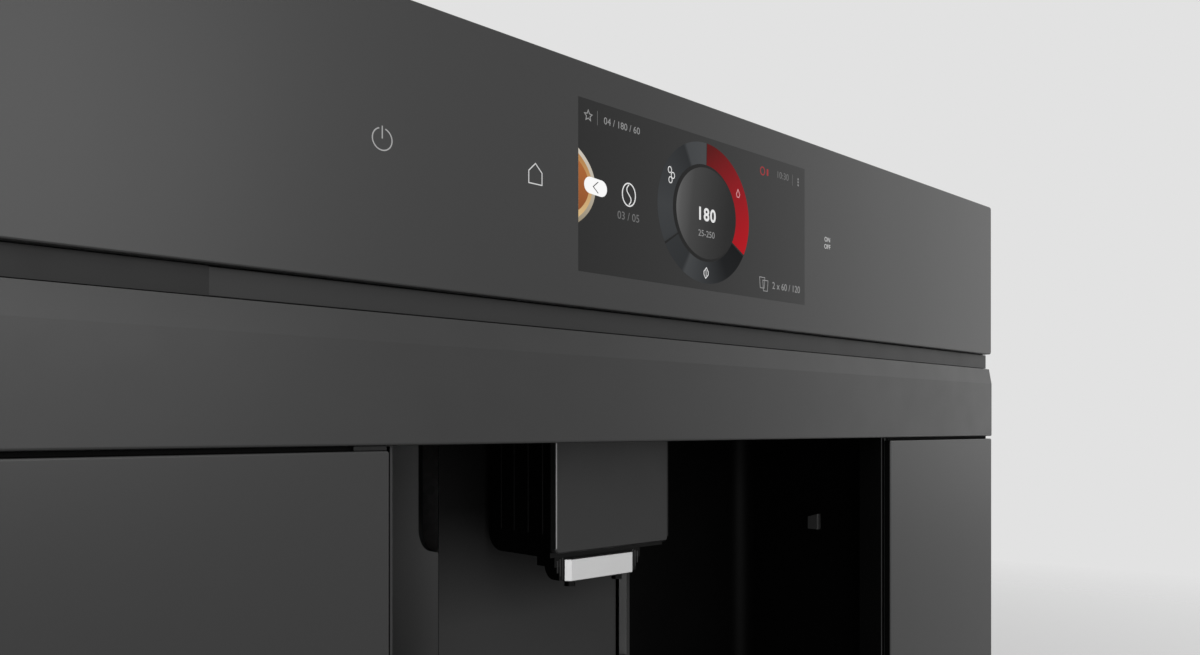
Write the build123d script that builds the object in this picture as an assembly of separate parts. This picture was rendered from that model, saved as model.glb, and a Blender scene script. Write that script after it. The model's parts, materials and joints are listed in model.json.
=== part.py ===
from build123d import *
import os

# Built-in coffee machine, millimetres. +Z is up, the front faces -Y, +X is to the right of
# someone standing in front of it. The origin is under the middle of the machine, on the floor.

# ---- Driving dimensions: the whole machine --------------------------------------------------
WIDTH = 594.0
HEIGHT = 455.0
DEPTH = 377.0
BODY_WIDTH = WIDTH - 38.0
SHEET = 0.8
FOOT_HEIGHT = 5.0
FOOT_RADIUS = 14.0
FOOT_INSET = 40.0
TOP_GAP = 10.0

# ---- Driving dimensions: the front, from the front plane backwards --------------------------
SKIN = 4.0
GLASS_SETBACK = 0.2
DOOR_DEPTH = 18.0
DOOR_GAP = 4.5
FRAME_SHEET = 2.0
CONTROL_HEIGHT = 99.1
GROOVE_HEIGHT = 9.8
GROOVE_SETBACK = 4.0
GROOVE_SEAM = 0.5
BAR_HEIGHT = 45.0
BAR_BEVEL_HEIGHT = 9.9
BAR_BEVEL_DEPTH = 1.8
BAR_WALL = 3.0
PANEL_SEAM = 1.7
FRONT_BOTTOM = 6.0
GLASS_CORNER = 2.0
PANEL_CORNER = 1.0
EDGE_ROUND = 0.7
STRIP = 1.5
OPENING_WIDTH = 329.6
FRAME_LIP = 3.5

# ---- Driving dimensions: niche, column and outlet -------------------------------------------
NICHE_WIDTH = 356.0
LINER = 2.0
LINER_CORNER = 12.0
RIGHT_BAY_DEPTH = 120.0
LEFT_BAY_DEPTH = 193.0
COLUMN_WIDTH = 134.8
COLUMN_FRONT_DEPTH = 115.7
COLUMN_WALL = 2.5
SLOT_WIDTH = 7.9
SLOT_BOTTOM = 172.0
NOTCH_DEPTH = 18.4
NOTCH_DROP = 56.3
NOTCH_CORNER = 10.0
OUTLET_WIDTH = 78.6
OUTLET_FRONT_DEPTH = 59.1
OUTLET_BACK_DEPTH = 111.8
OUTLET_COVER = 4.0
OUTLET_COVER_GAP = 0.4
OUTLET_COVER_CORNER = 2.0
OUTLET_DROP = 56.6
OUTLET_COVER_DROP = 54.4
OUTLET_CORNER = 10.0
SEAM_DEPTHS = (80.9, 92.0)
SEAM_WIDTH = 0.5
TRIM_WIDTH = 47.5
TRIM_HEIGHT = 11.0
TRIM_THICKNESS = 3.0
TRIM_BEVEL = 2.4
TRIM_TOP_DROP = 59.2
TRIM_FRONT_DEPTH = 68.0
NOZZLE_SPACING = 33.0
NOZZLE_RADIUS = 2.75
NOZZLE_BORE = 1.4
NOZZLE_LENGTH = 4.0
ROD_RADIUS = 3.0
ROD_SPACING = 30.0

# ---- Driving dimensions: things that come out of the machine --------------------------------
TRAY_SIDE_GAP = 1.5
TRAY_DEPTH = 182.5
TRAY_WALL = 2.5
TRAY_TOP = 72.0
GRATE_THICKNESS = 3.7
GRATE_CORNER = 3.0
GRATE_SLOT_WIDTH = 5.0
GRATE_SLOT_PITCH = 11.0
FLOAT_RADIUS = 5.0
BAY_WIDTH = 70.0
BAY_SIDE_GAP = 4.0
TANK_DEPTH = 150.0
TANK_HEIGHT = 258.0
TANK_WALL = 2.2
SHELF = 4.0
SPIGOT_RADIUS = 6.0
SPIGOT_LENGTH = 10.0
DOCK_DEPTH = 25.0
HOPPER_HEIGHT = 118.0
HOPPER_DEPTH = 157.0
HOPPER_WALL = 2.0
HOPPER_OUTLET_RADIUS = 12.0
BREW_DEPTH = 98.0
BREW_HEIGHT = 132.0
BREW_WALL = 3.0
GROUNDS_HEIGHT = 50.0
GROUNDS_DEPTH = 110.0
GROUNDS_WALL = 2.0

# ---- Clearances, each for one kind of fit ---------------------------------------------------
RUNNING_FIT = 0.05
SEAT_GAP = 0.3
SLIDE_GAP = 0.8
FRAME_GAP = 2.5

# ---- Hinge, screws and small hardware -------------------------------------------------------
PIN_RADIUS = 3.0
PIN_INSET_X = 7.0
PIN_INSET_Y = 12.0
HINGE_PLATE = 3.0
HINGE_PLATE_LENGTH = 46.0
HINGE_TONGUE = 24.0
SCREW_HOLE_RADIUS = 2.5
SCREW_INSET = 10.0
SCREW_LOW = 40.0
SCREW_HIGH = 320.0
CABLE_WINDOW = 60.0
CHASSIS_PLATE = 1.2
CHASSIS_SPACE = 20.0
HOSE_SPACE = 18.0
EDGE_TOLERANCE = 0.01

# ---- Places worked out from the dimensions above --------------------------------------------
FRONT = -DEPTH / 2
BACK = DEPTH / 2
HALF = WIDTH / 2
SKIN_BACK = FRONT + SKIN
DOOR_BACK = FRONT + DOOR_DEPTH
FRAME_FRONT = DOOR_BACK + DOOR_GAP
FRAME_BACK = FRAME_FRONT + FRAME_SHEET
GLASS_FRONT = FRONT + GLASS_SETBACK
GLASS_BACK = GLASS_FRONT + SKIN
CONTROL_BOTTOM = HEIGHT - CONTROL_HEIGHT
BAR_TOP = CONTROL_BOTTOM - GROOVE_HEIGHT
BAR_BOTTOM = BAR_TOP - BAR_HEIGHT
PANEL_TOP = BAR_BOTTOM - PANEL_SEAM
OPENING_HALF = OPENING_WIDTH / 2
LIP_HALF = OPENING_HALF - FRAME_LIP
BODY_HALF = BODY_WIDTH / 2
BODY_IN = BODY_HALF - SHEET
BODY_TOP = HEIGHT - TOP_GAP
BASE_TOP = FOOT_HEIGHT + SHEET
PANEL_STANDOFF = 2.5
REAR_OUT = BACK - PANEL_STANDOFF
REAR_IN = REAR_OUT - SHEET
FLOOR_PLATE = 3.0
BAY_FLOOR = BASE_TOP + FLOOR_PLATE
NICHE_FLOOR = TRAY_TOP + SEAT_GAP + GRATE_THICKNESS
TANK_SHELF = NICHE_FLOOR - 6.0
NICHE_HALF = NICHE_WIDTH / 2
LINER_OUT = NICHE_HALF + LINER
CELL_HALF = max(NICHE_HALF, LIP_HALF)
CELL_OUT = CELL_HALF + LINER
LINER_BOTTOM = NICHE_FLOOR + LINER
NICHE_TOP = BAR_TOP + 6.0
RIGHT_BAY_BACK = FRONT + RIGHT_BAY_DEPTH
LEFT_BAY_BACK = FRONT + LEFT_BAY_DEPTH
COLUMN_HALF = COLUMN_WIDTH / 2
COLUMN_FRONT = FRONT + COLUMN_FRONT_DEPTH
SLOT_RIGHT = COLUMN_HALF - COLUMN_WALL
SLOT_LEFT = SLOT_RIGHT - SLOT_WIDTH
OUTLET_HALF = OUTLET_WIDTH / 2
OUTLET_FRONT = FRONT + OUTLET_FRONT_DEPTH
OUTLET_BACK = FRONT + OUTLET_BACK_DEPTH
OUTLET_BOTTOM = BAR_BOTTOM - OUTLET_DROP
OUTLET_TOP = BAR_TOP - 1.0
OUTLET_BODY_FRONT = OUTLET_FRONT + OUTLET_COVER + OUTLET_COVER_GAP
TRIM_TOP = BAR_BOTTOM - TRIM_TOP_DROP
TRIM_BOTTOM = TRIM_TOP - TRIM_HEIGHT
TRIM_FRONT = FRONT + TRIM_FRONT_DEPTH
TRIM_BACK = TRIM_FRONT + TRIM_THICKNESS
TRAY_HALF = LIP_HALF - TRAY_SIDE_GAP
TRAY_BODY_HALF = TRAY_HALF - 2.3
TRAY_BACK = SKIN_BACK + TRAY_DEPTH
GRATE_BACK = COLUMN_FRONT - 4.0
BAY_NEAR = CELL_OUT + BAY_SIDE_GAP
BAY_FAR = BAY_NEAR + BAY_WIDTH
BAY_MID = (BAY_NEAR + BAY_FAR) / 2
FRAME_BAY_NEAR = BAY_NEAR - FRAME_GAP
FRAME_BAY_FAR = BAY_FAR + FRAME_GAP
PIN_X = -HALF + PIN_INSET_X
PIN_Y = FRONT + PIN_INSET_Y
HINGE_TOP_Z = BAR_TOP + 1.3
HINGE_BOTTOM_Z = FOOT_HEIGHT - HINGE_PLATE
TANK_BOTTOM = TANK_SHELF + SHELF + SEAT_GAP
TANK_TOP = TANK_BOTTOM + TANK_HEIGHT
TANK_FRONT = FRAME_BACK + 1.0
TANK_BACK = TANK_FRONT + TANK_DEPTH
DOCK_BACK = TANK_BACK + DOCK_DEPTH
CHASSIS_FRONT = max(LEFT_BAY_BACK + LINER + CHASSIS_SPACE, DOCK_BACK + HOSE_SPACE)
CHASSIS_BACK = CHASSIS_FRONT + CHASSIS_PLATE
DRAWER_FRONT = FRAME_FRONT - 1.0
HOPPER_TOP = BAR_TOP - 14.0
HOPPER_BOTTOM = HOPPER_TOP - HOPPER_HEIGHT
HOPPER_BACK = DRAWER_FRONT + HOPPER_DEPTH
HOPPER_SHELF = HOPPER_BOTTOM - SEAT_GAP - SHELF
GROUNDS_BOTTOM = BAY_FLOOR + SEAT_GAP
GROUNDS_TOP = GROUNDS_BOTTOM + GROUNDS_HEIGHT
BREW_SHELF = GROUNDS_TOP + 4.2
BREW_BOTTOM = BREW_SHELF + SHELF + SEAT_GAP
BREW_TOP = BREW_BOTTOM + BREW_HEIGHT
BREW_FRONT = FRAME_BACK + 1.0
BREW_BACK = BREW_FRONT + BREW_DEPTH
GRINDER_Y = HOPPER_BACK - HOPPER_OUTLET_RADIUS - 6.0


# ---- Shape helpers --------------------------------------------------------------------------
def block(x, y, z):
    """A box between the low and high value given for each axis."""
    centre = Pos((x[0] + x[1]) / 2, (y[0] + y[1]) / 2, (z[0] + z[1]) / 2)
    return centre * Box(x[1] - x[0], y[1] - y[0], z[1] - z[0])


def post(radius, x, y, z):
    """An upright cylinder; z is its low and high end."""
    return Pos(x, y, (z[0] + z[1]) / 2) * Cylinder(radius, z[1] - z[0])


def stud(radius, x, y, z):
    """A cylinder from front to back; y is its near and far end."""
    return Pos(x, (y[0] + y[1]) / 2, z) * Rot(90, 0, 0) * Cylinder(radius, y[1] - y[0])


def bar_x(radius, x, y, z):
    """A cylinder from left to right; x is its left and right end."""
    return Pos((x[0] + x[1]) / 2, y, z) * Rot(0, 90, 0) * Cylinder(radius, x[1] - x[0])


def edges_at(part, axis, **place):
    """The edges along an axis whose middle lies at the given X, Y or Z."""
    found = part.edges().filter_by(axis)
    for name, value in place.items():
        found = found.filter_by(lambda edge: abs(getattr(edge.center(), name) - value) < EDGE_TOLERANCE)
    return found


def tub(x, y, z, wall, floor):
    """A box with an open top, given by its outer faces."""
    inner = block(
        (x[0] + wall, x[1] - wall),
        (y[0] + wall, y[1] - wall),
        (z[0] + floor, z[1] + wall),
    )
    return block(x, y, z) - inner


def front_plate(x, y, z, corner):
    """A flat front panel with round corners and a softly rounded front edge."""
    plate = block(x, y, z)
    plate = fillet(plate.edges().filter_by(Axis.Y), corner)
    return fillet(plate.faces().sort_by(Axis.Y)[0].edges(), EDGE_ROUND)


def group(solids):
    """Separate solids of one kind, kept apart in one node."""
    return Compound(children=list(solids))


# ---- Casing ---------------------------------------------------------------------------------
def base_tray():
    return block((-BODY_HALF, BODY_HALF), (FRAME_BACK, REAR_OUT), (FOOT_HEIGHT, BASE_TOP))


def feet():
    places = []
    for side in (-1, 1):
        for y in (FRAME_BACK + FOOT_INSET, REAR_IN - FOOT_INSET):
            foot = post(FOOT_RADIUS, side * (BODY_HALF - FOOT_INSET), y, (0, FOOT_HEIGHT))
            places.append(chamfer(foot.edges().group_by(Axis.Z)[0], 1.0))
    return group(places)


def side_panels():
    panels = []
    for side in (-1, 1):
        x = sorted((side * BODY_IN, side * BODY_HALF))
        panels.append(block(x, (FRAME_BACK, REAR_OUT), (BASE_TOP, BODY_TOP - SHEET)))
    return group(panels)


def top_cover():
    return block((-BODY_HALF, BODY_HALF), (FRAME_BACK, REAR_OUT), (BODY_TOP - SHEET, BODY_TOP))


INLET_X = -BODY_HALF + 60.0
INLET_Z = 60.0
INLET_HALF_WIDTH = 14.0
INLET_HALF_HEIGHT = 10.0
SOCKET_HALF_WIDTH = 11.5
SOCKET_HALF_HEIGHT = 7.5
SOCKET_DEPTH = 16.0
VENT_WIDTH = 60.0
VENT_HEIGHT = 4.0
VENT_PITCH = 12.0
VENT_COUNT = 9


def rear_panel():
    panel = block((-BODY_IN, BODY_IN), (REAR_IN, REAR_OUT), (BASE_TOP, BODY_TOP - SHEET))
    panel -= block(
        (INLET_X - INLET_HALF_WIDTH, INLET_X + INLET_HALF_WIDTH),
        (REAR_IN - 1, REAR_OUT + 1),
        (INLET_Z - INLET_HALF_HEIGHT, INLET_Z + INLET_HALF_HEIGHT),
    )
    for row in range(VENT_COUNT):
        z = BODY_TOP - 60.0 - row * VENT_PITCH
        for x in (-BODY_HALF / 2, BODY_HALF / 2):
            panel -= block(
                (x - VENT_WIDTH / 2, x + VENT_WIDTH / 2),
                (REAR_IN - 1, REAR_OUT + 1),
                (z - VENT_HEIGHT / 2, z + VENT_HEIGHT / 2),
            )
    return panel


def mains_inlet():
    """An appliance inlet: a flange outside the rear panel and a socket body that goes through it."""
    flange = block(
        (INLET_X - INLET_HALF_WIDTH - 8.0, INLET_X + INLET_HALF_WIDTH + 8.0),
        (REAR_OUT, BACK),
        (INLET_Z - INLET_HALF_HEIGHT - 4.0, INLET_Z + INLET_HALF_HEIGHT + 4.0),
    )
    body = block(
        (INLET_X - INLET_HALF_WIDTH + SEAT_GAP, INLET_X + INLET_HALF_WIDTH - SEAT_GAP),
        (REAR_IN - 20.0, REAR_OUT),
        (INLET_Z - INLET_HALF_HEIGHT + SEAT_GAP, INLET_Z + INLET_HALF_HEIGHT - SEAT_GAP),
    )
    socket = block(
        (INLET_X - SOCKET_HALF_WIDTH, INLET_X + SOCKET_HALF_WIDTH),
        (REAR_IN - SOCKET_DEPTH, BACK + 1),
        (INLET_Z - SOCKET_HALF_HEIGHT, INLET_Z + SOCKET_HALF_HEIGHT),
    )
    inlet = flange + body - socket
    for x, z in ((-6.0, -2.0), (6.0, -2.0), (0.0, 2.5)):
        blade = block(
            (INLET_X + x - 1.0, INLET_X + x + 1.0),
            (REAR_IN - SOCKET_DEPTH - 1.0, REAR_OUT),
            (INLET_Z + z - 2.0, INLET_Z + z + 2.0),
        )
        inlet += blade
    return inlet


def front_frame():
    """The steel face behind the door: a window for the niche, one for the tray, four for the drawers."""
    frame = block((-HALF + 1.0, HALF - 1.0), (FRAME_FRONT, FRAME_BACK), (FOOT_HEIGHT, BODY_TOP))
    windows = [
        ((-NICHE_HALF, NICHE_HALF), (NICHE_FLOOR, NICHE_TOP)),
        ((-CELL_HALF, CELL_HALF), (BAY_FLOOR, LINER_BOTTOM)),
        ((-FRAME_BAY_FAR, -FRAME_BAY_NEAR), (TANK_SHELF + SHELF, TANK_TOP + 8.0)),
        ((FRAME_BAY_NEAR, FRAME_BAY_FAR), (BAY_FLOOR, GROUNDS_TOP + 2.0)),
        ((FRAME_BAY_NEAR, FRAME_BAY_FAR), (BREW_SHELF + SHELF, BREW_TOP + 2.0)),
        ((FRAME_BAY_NEAR, FRAME_BAY_FAR), (HOPPER_SHELF + SHELF, HOPPER_TOP + 7.0)),
    ]
    windows.append(
        (
            (SWITCH_X - SWITCH_HALF_WIDTH, SWITCH_X + SWITCH_HALF_WIDTH),
            (SWITCH_Z - SWITCH_HALF_HEIGHT, SWITCH_Z + SWITCH_HALF_HEIGHT),
        )
    )
    windows.append(((-CABLE_WINDOW / 2, CABLE_WINDOW / 2), (HEIGHT - 60.0, HEIGHT - 40.0)))
    through = (FRAME_FRONT - 1, FRAME_BACK + 1)
    for x, z in windows:
        frame -= block(x, through, z)
    for side in (-1, 1):
        for z in (SCREW_LOW, SCREW_HIGH):
            frame -= stud(SCREW_HOLE_RADIUS, side * (HALF - SCREW_INSET), through, z)
    return frame - stud(KNOB_STEM, KNOB_X, through, KNOB_Z)


def bay_shelves():
    """Floor, partitions and shelves of the drawer bays, each a separate sheet."""
    right_y = (FRAME_BACK, GRINDER_Y + GRINDER_RADIUS)
    sheets = [
        block((-BODY_IN, BODY_IN), (FRAME_BACK, LEFT_BAY_BACK), (BASE_TOP, BAY_FLOOR)),
        block((-BODY_IN, -CELL_OUT), (FRAME_BACK, DOCK_BACK + 2.0), (TANK_SHELF, TANK_SHELF + SHELF)),
        block((CELL_OUT, BODY_IN), right_y, (BREW_SHELF, BREW_SHELF + SHELF)),
    ]
    for side in (-1, 1):
        x = sorted((side * CELL_HALF, side * CELL_OUT))
        sheets.append(block(x, (FRAME_BACK, LEFT_BAY_BACK), (BAY_FLOOR, NICHE_FLOOR)))
    hopper_shelf = block((LINER_OUT, BODY_IN), right_y, (HOPPER_SHELF, HOPPER_SHELF + SHELF))
    throat_z = (HOPPER_SHELF - 1, HOPPER_SHELF + SHELF + 1)
    sheets.append(hopper_shelf - post(THROAT_RADIUS + SEAT_GAP, BAY_MID, GRINDER_Y, throat_z))
    return group(sheets)


# ---- Control panel --------------------------------------------------------------------------
DISPLAY_WIDTH = 157.0
DISPLAY_HEIGHT = 70.3
DISPLAY_TOP_INSET = 14.8
DISPLAY_RIM = 3.5
HOUSING_INSET = 7.0
HOUSING_WALL = 2.0
BOARD = 1.6
BOARD_STANDOFF = 2.0


def control_panel_glass():
    z = (CONTROL_BOTTOM, HEIGHT)
    return front_plate((-HALF, HALF), (GLASS_FRONT, GLASS_BACK), z, GLASS_CORNER)


def control_panel_housing():
    outer = block(
        (-HALF + HOUSING_INSET, HALF - HOUSING_INSET),
        (GLASS_BACK, FRAME_FRONT),
        (CONTROL_BOTTOM + HOUSING_INSET, HEIGHT - HOUSING_INSET),
    )
    inner = block(
        (-HALF + HOUSING_INSET + HOUSING_WALL, HALF - HOUSING_INSET - HOUSING_WALL),
        (GLASS_BACK - 1, FRAME_FRONT - HOUSING_WALL),
        (CONTROL_BOTTOM + HOUSING_INSET + HOUSING_WALL, HEIGHT - HOUSING_INSET - HOUSING_WALL),
    )
    housing = outer - inner
    for x in (-50.0, 50.0):
        for z in (-18.0, 18.0):
            y = (FRAME_FRONT - HOUSING_WALL - BOARD_STANDOFF, FRAME_FRONT - HOUSING_WALL + 0.5)
            housing += stud(3.0, x, y, HEIGHT - CONTROL_HEIGHT / 2 + z)
    return housing


def display_module():
    x = DISPLAY_WIDTH / 2 + DISPLAY_RIM
    z_top = HEIGHT - DISPLAY_TOP_INSET + DISPLAY_RIM
    z_bottom = HEIGHT - DISPLAY_TOP_INSET - DISPLAY_HEIGHT - DISPLAY_RIM
    module = block((-x, x), (GLASS_BACK, GLASS_BACK + 6.0), (z_bottom, z_top))
    return chamfer(module.faces().sort_by(Axis.Y)[-1].edges(), 1.0)


def control_board():
    """The board behind the display, on stand-offs in the panel housing."""
    back = FRAME_FRONT - HOUSING_WALL - BOARD_STANDOFF
    middle = HEIGHT - CONTROL_HEIGHT / 2
    board = block((-60.0, 60.0), (back - BOARD, back), (middle - 25.0, middle + 25.0))
    for x, size in ((-40.0, 7.0), (-15.0, 10.0), (15.0, 5.0), (38.0, 8.0)):
        chip_y = (back - BOARD - 1.5, back - BOARD)
        board += block((x - size, x + size), chip_y, (middle - size, middle + size))
    return board


def groove_strip():
    """The recessed strip between the control panel and the door, with its fixing flange."""
    z = (BAR_TOP + GROOVE_SEAM, CONTROL_BOTTOM - GROOVE_SEAM / 2)
    front = FRONT + GROOVE_SETBACK
    strip = block((-HALF, HALF), (front, front + STRIP), z)
    strip += block((-HALF + 1.0, HALF - 1.0), (front, FRAME_FRONT), (z[1] - STRIP, z[1]))
    return strip


# ---- Niche ----------------------------------------------------------------------------------
def niche_plates():
    """The niche's floor, with the window over the drip tray, and its ceiling."""
    y = (FRAME_BACK, LEFT_BAY_BACK + LINER)
    floor = block((-CELL_OUT, CELL_OUT), y, (NICHE_FLOOR, LINER_BOTTOM))
    window_y = (FRAME_BACK - 1, GRATE_BACK + 1.0)
    floor -= block((-LIP_HALF, LIP_HALF), window_y, (NICHE_FLOOR - 1, LINER_BOTTOM + 1))
    ceiling = block((-LINER_OUT, LINER_OUT), y, (NICHE_TOP, NICHE_TOP + LINER))
    ceiling -= post(HOSE_RADIUS, 0, VALVE_Y, (NICHE_TOP - 1, NICHE_TOP + LINER + 1))
    return group([floor, ceiling])


def liner_wall(side, back):
    """A side wall that turns through a round corner into a back wall, as far as the column."""
    outer_x = sorted((side * COLUMN_HALF, side * LINER_OUT))
    inner_x = sorted((side * (COLUMN_HALF - 1), side * NICHE_HALF))
    outer = block(outer_x, (FRAME_BACK, back + LINER), (LINER_BOTTOM, NICHE_TOP))
    inner = block(inner_x, (FRAME_BACK - 1, back), (LINER_BOTTOM - 1, NICHE_TOP + 1))
    outer = fillet(edges_at(outer, Axis.Z, X=side * LINER_OUT, Y=back + LINER), LINER_CORNER + LINER)
    inner = fillet(edges_at(inner, Axis.Z, X=side * NICHE_HALF, Y=back), LINER_CORNER)
    return outer - inner


HOSE_CLIP = (2.8, 7.5, 9.8)
HOSE_CLIP_SLOPE = 2.2
HOSE_CLIP_DEPTH = 56.0
HOSE_CLIP_DROP = 58.2


def hose_clip():
    """The low lug on the right wall that a milk hose is tucked behind, with a top that falls rearwards."""
    proud, length, height = HOSE_CLIP
    y = FRONT + HOSE_CLIP_DEPTH
    z = BAR_BOTTOM - HOSE_CLIP_DROP
    points = [
        (y, z),
        (y + length, z),
        (y + length, z + height - HOSE_CLIP_SLOPE),
        (y, z + height),
    ]
    section = make_face(Plane.YZ * Polyline(points, close=True))
    clip = Pos(NICHE_HALF - proud, 0, 0) * extrude(section, proud)
    return fillet(edges_at(clip, Axis.Z, X=NICHE_HALF - proud, Y=y), 1.0)


# ---- Column and outlet ----------------------------------------------------------------------
SLIDER_FRONT = COLUMN_FRONT + COLUMN_WALL + 4.0
SLIDER_DEPTH = 20.0
SLIDER_X = SLOT_RIGHT - SLIDE_GAP - 30.0
SLIDER_HALF = 29.0
ARM_DROP = 39.0
CARRIAGE_GAP = 1.2
VALVE_Y = LEFT_BAY_BACK - 30.0


def column_walls():
    """The column's side walls; the left one has a round-cornered notch at its upper front."""
    z = (LINER_BOTTOM, NICHE_TOP)
    left_y = (COLUMN_FRONT + SEAM_WIDTH, LEFT_BAY_BACK + LINER)
    left = block((-COLUMN_HALF, -COLUMN_HALF + COLUMN_WALL), left_y, z)
    notch = block(
        (-COLUMN_HALF - 1, -COLUMN_HALF + COLUMN_WALL + 1),
        (COLUMN_FRONT - 5.0, COLUMN_FRONT + NOTCH_DEPTH),
        (BAR_BOTTOM - NOTCH_DROP, NICHE_TOP + 1),
    )
    lower_back = edges_at(notch, Axis.X, Y=COLUMN_FRONT + NOTCH_DEPTH, Z=BAR_BOTTOM - NOTCH_DROP)
    notch = fillet(lower_back, NOTCH_CORNER)
    right = block((SLOT_RIGHT, COLUMN_HALF), (COLUMN_FRONT, RIGHT_BAY_BACK + LINER), z)
    return group([left - notch, right])


def column_front_plate():
    y = (COLUMN_FRONT, COLUMN_FRONT + COLUMN_WALL)
    plate = block((-COLUMN_HALF, SLOT_LEFT), y, (LINER_BOTTOM, NICHE_TOP))
    left_corner = block(
        (-COLUMN_HALF - 1, -COLUMN_HALF + COLUMN_WALL + SEAM_WIDTH),
        (COLUMN_FRONT + SEAM_WIDTH, COLUMN_FRONT + COLUMN_WALL + 1),
        (LINER_BOTTOM - 1, NICHE_TOP + 1),
    )
    plate -= left_corner
    plate += block((SLOT_LEFT, SLOT_RIGHT), y, (LINER_BOTTOM, SLOT_BOTTOM))
    return fillet(edges_at(plate, Axis.Z, X=SLOT_LEFT, Y=COLUMN_FRONT), 2.0)


def guide_rods():
    """Two steel rods inside the column, from the niche floor to its ceiling."""
    y = SLIDER_FRONT + SLIDER_DEPTH / 2
    return group(
        post(ROD_RADIUS, SLIDER_X + side * ROD_SPACING / 2, y, (LINER_BOTTOM, NICHE_TOP)) for side in (-1, 1)
    )


def outlet_carriage():
    """The slider on the rods, and the arm that leaves the slot and carries the outlet."""
    z = (OUTLET_TOP - ARM_DROP - 44.0, OUTLET_TOP)
    slider = block(
        (SLIDER_X - SLIDER_HALF, SLIDER_X + SLIDER_HALF),
        (SLIDER_FRONT, SLIDER_FRONT + SLIDER_DEPTH),
        z,
    )
    arm_x = (SLOT_LEFT + SLIDE_GAP, SLOT_RIGHT - SLIDE_GAP)
    arm = block(arm_x, (OUTLET_BACK, SLIDER_FRONT), z)
    bridge = block((OUTLET_HALF - 12.0, arm_x[1]), (OUTLET_BACK, COLUMN_FRONT - CARRIAGE_GAP), z)
    carriage = slider + arm + bridge
    for side in (-1, 1):
        carriage -= post(
            ROD_RADIUS + RUNNING_FIT,
            SLIDER_X + side * ROD_SPACING / 2,
            SLIDER_FRONT + SLIDER_DEPTH / 2,
            (z[0] - 1, z[1] + 1),
        )
    return carriage


PEG_RADIUS = 2.0
PEG_LENGTH = 4.0
PEG_X = 30.0
PEG_DROPS = (8.0, 78.0)
FROTHER_Y = FRONT + 78.0
FROTHER_BACK = FRONT + 84.4
FROTHER_HALF = 30.0
FROTHER_SPIGOT = 5.0
FROTHER_SPIGOT_LENGTH = 8.0
FROTHER_FLANGE = 6.0


def peg_places():
    return [(side * PEG_X, OUTLET_TOP - drop) for side in (-1, 1) for drop in PEG_DROPS]


def outlet_housing():
    x = (-OUTLET_HALF, OUTLET_HALF)
    housing = block(x, (OUTLET_BODY_FRONT, OUTLET_BACK), (OUTLET_BOTTOM, OUTLET_TOP))
    housing = fillet(edges_at(housing, Axis.X, Y=OUTLET_BACK, Z=OUTLET_BOTTOM), OUTLET_CORNER)
    housing -= block(
        (-OUTLET_HALF + 3.0, OUTLET_HALF - 3.0),
        (OUTLET_BODY_FRONT + 7.0, OUTLET_BACK - 3.0),
        (OUTLET_BOTTOM + 13.0, OUTLET_TOP + 1.0),
    )
    for depth in SEAM_DEPTHS:
        y = FRONT + depth
        seam_y = (y - SEAM_WIDTH / 2, y + SEAM_WIDTH / 2)
        for side in (-1, 1):
            seam_x = sorted((side * (OUTLET_HALF - 0.6), side * (OUTLET_HALF + 1)))
            housing -= block(seam_x, seam_y, (OUTLET_BOTTOM - 1, OUTLET_TOP + 1))
    housing -= post(
        FROTHER_SPIGOT + RUNNING_FIT,
        0,
        FROTHER_Y,
        (OUTLET_BOTTOM - 1, OUTLET_BOTTOM + FROTHER_SPIGOT_LENGTH),
    )
    peg_y = (OUTLET_BODY_FRONT - 1, OUTLET_BODY_FRONT + PEG_LENGTH)
    for peg_x, z in peg_places():
        housing -= stud(PEG_RADIUS + RUNNING_FIT, peg_x, peg_y, z)
    return housing


def outlet_cover():
    back = OUTLET_FRONT + OUTLET_COVER
    bottom = BAR_BOTTOM - OUTLET_COVER_DROP
    cover = block((-OUTLET_HALF, OUTLET_HALF), (OUTLET_FRONT, back), (bottom, OUTLET_TOP))
    cover = fillet(edges_at(cover, Axis.Y, Z=bottom), OUTLET_COVER_CORNER)
    cover = chamfer(cover.faces().sort_by(Axis.Y)[0].edges().filter_by(Axis.Z), 0.8)
    for x, z in peg_places():
        cover += stud(PEG_RADIUS, x, (back - 0.5, OUTLET_BODY_FRONT + PEG_LENGTH - SEAT_GAP), z)
    return cover


def frother_block():
    """The removable milk frother under the outlet, with its round rear and its spigot."""
    top = OUTLET_BOTTOM - SEAT_GAP
    flange_bottom = top - FROTHER_FLANGE
    body_bottom = TRIM_BOTTOM + 0.6
    flange = block((-FROTHER_HALF, FROTHER_HALF), (TRIM_BACK, FROTHER_BACK), (flange_bottom, top))
    lower = block(
        (-FROTHER_HALF + 3.0, FROTHER_HALF - 3.0),
        (TRIM_BACK, FROTHER_BACK - 2.4),
        (body_bottom, flange_bottom + 1.0),
    )
    lower = fillet(edges_at(lower, Axis.X, Y=FROTHER_BACK - 2.4, Z=body_bottom), 6.5)
    frother = flange + lower
    spigot_top = OUTLET_BOTTOM + FROTHER_SPIGOT_LENGTH - SEAT_GAP
    frother += post(FROTHER_SPIGOT, 0, FROTHER_Y, (top - 1.0, spigot_top))
    groove_y = (TRIM_BACK - 1, TRIM_BACK + 4.0)
    for x in (-FROTHER_HALF + 6.5, FROTHER_HALF - 6.5):
        frother -= block((x - 0.6, x + 0.6), groove_y, (body_bottom - 1, flange_bottom))
    for side in (-1, 1):
        place = (side * NOZZLE_SPACING / 2, TRIM_BACK + NOZZLE_RADIUS + 1.2)
        frother += post(NOZZLE_RADIUS, *place, (body_bottom - NOZZLE_LENGTH, body_bottom + 1.0))
        frother -= post(NOZZLE_BORE, *place, (body_bottom - NOZZLE_LENGTH - 1.0, body_bottom + 2.0))
    return frother


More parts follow.
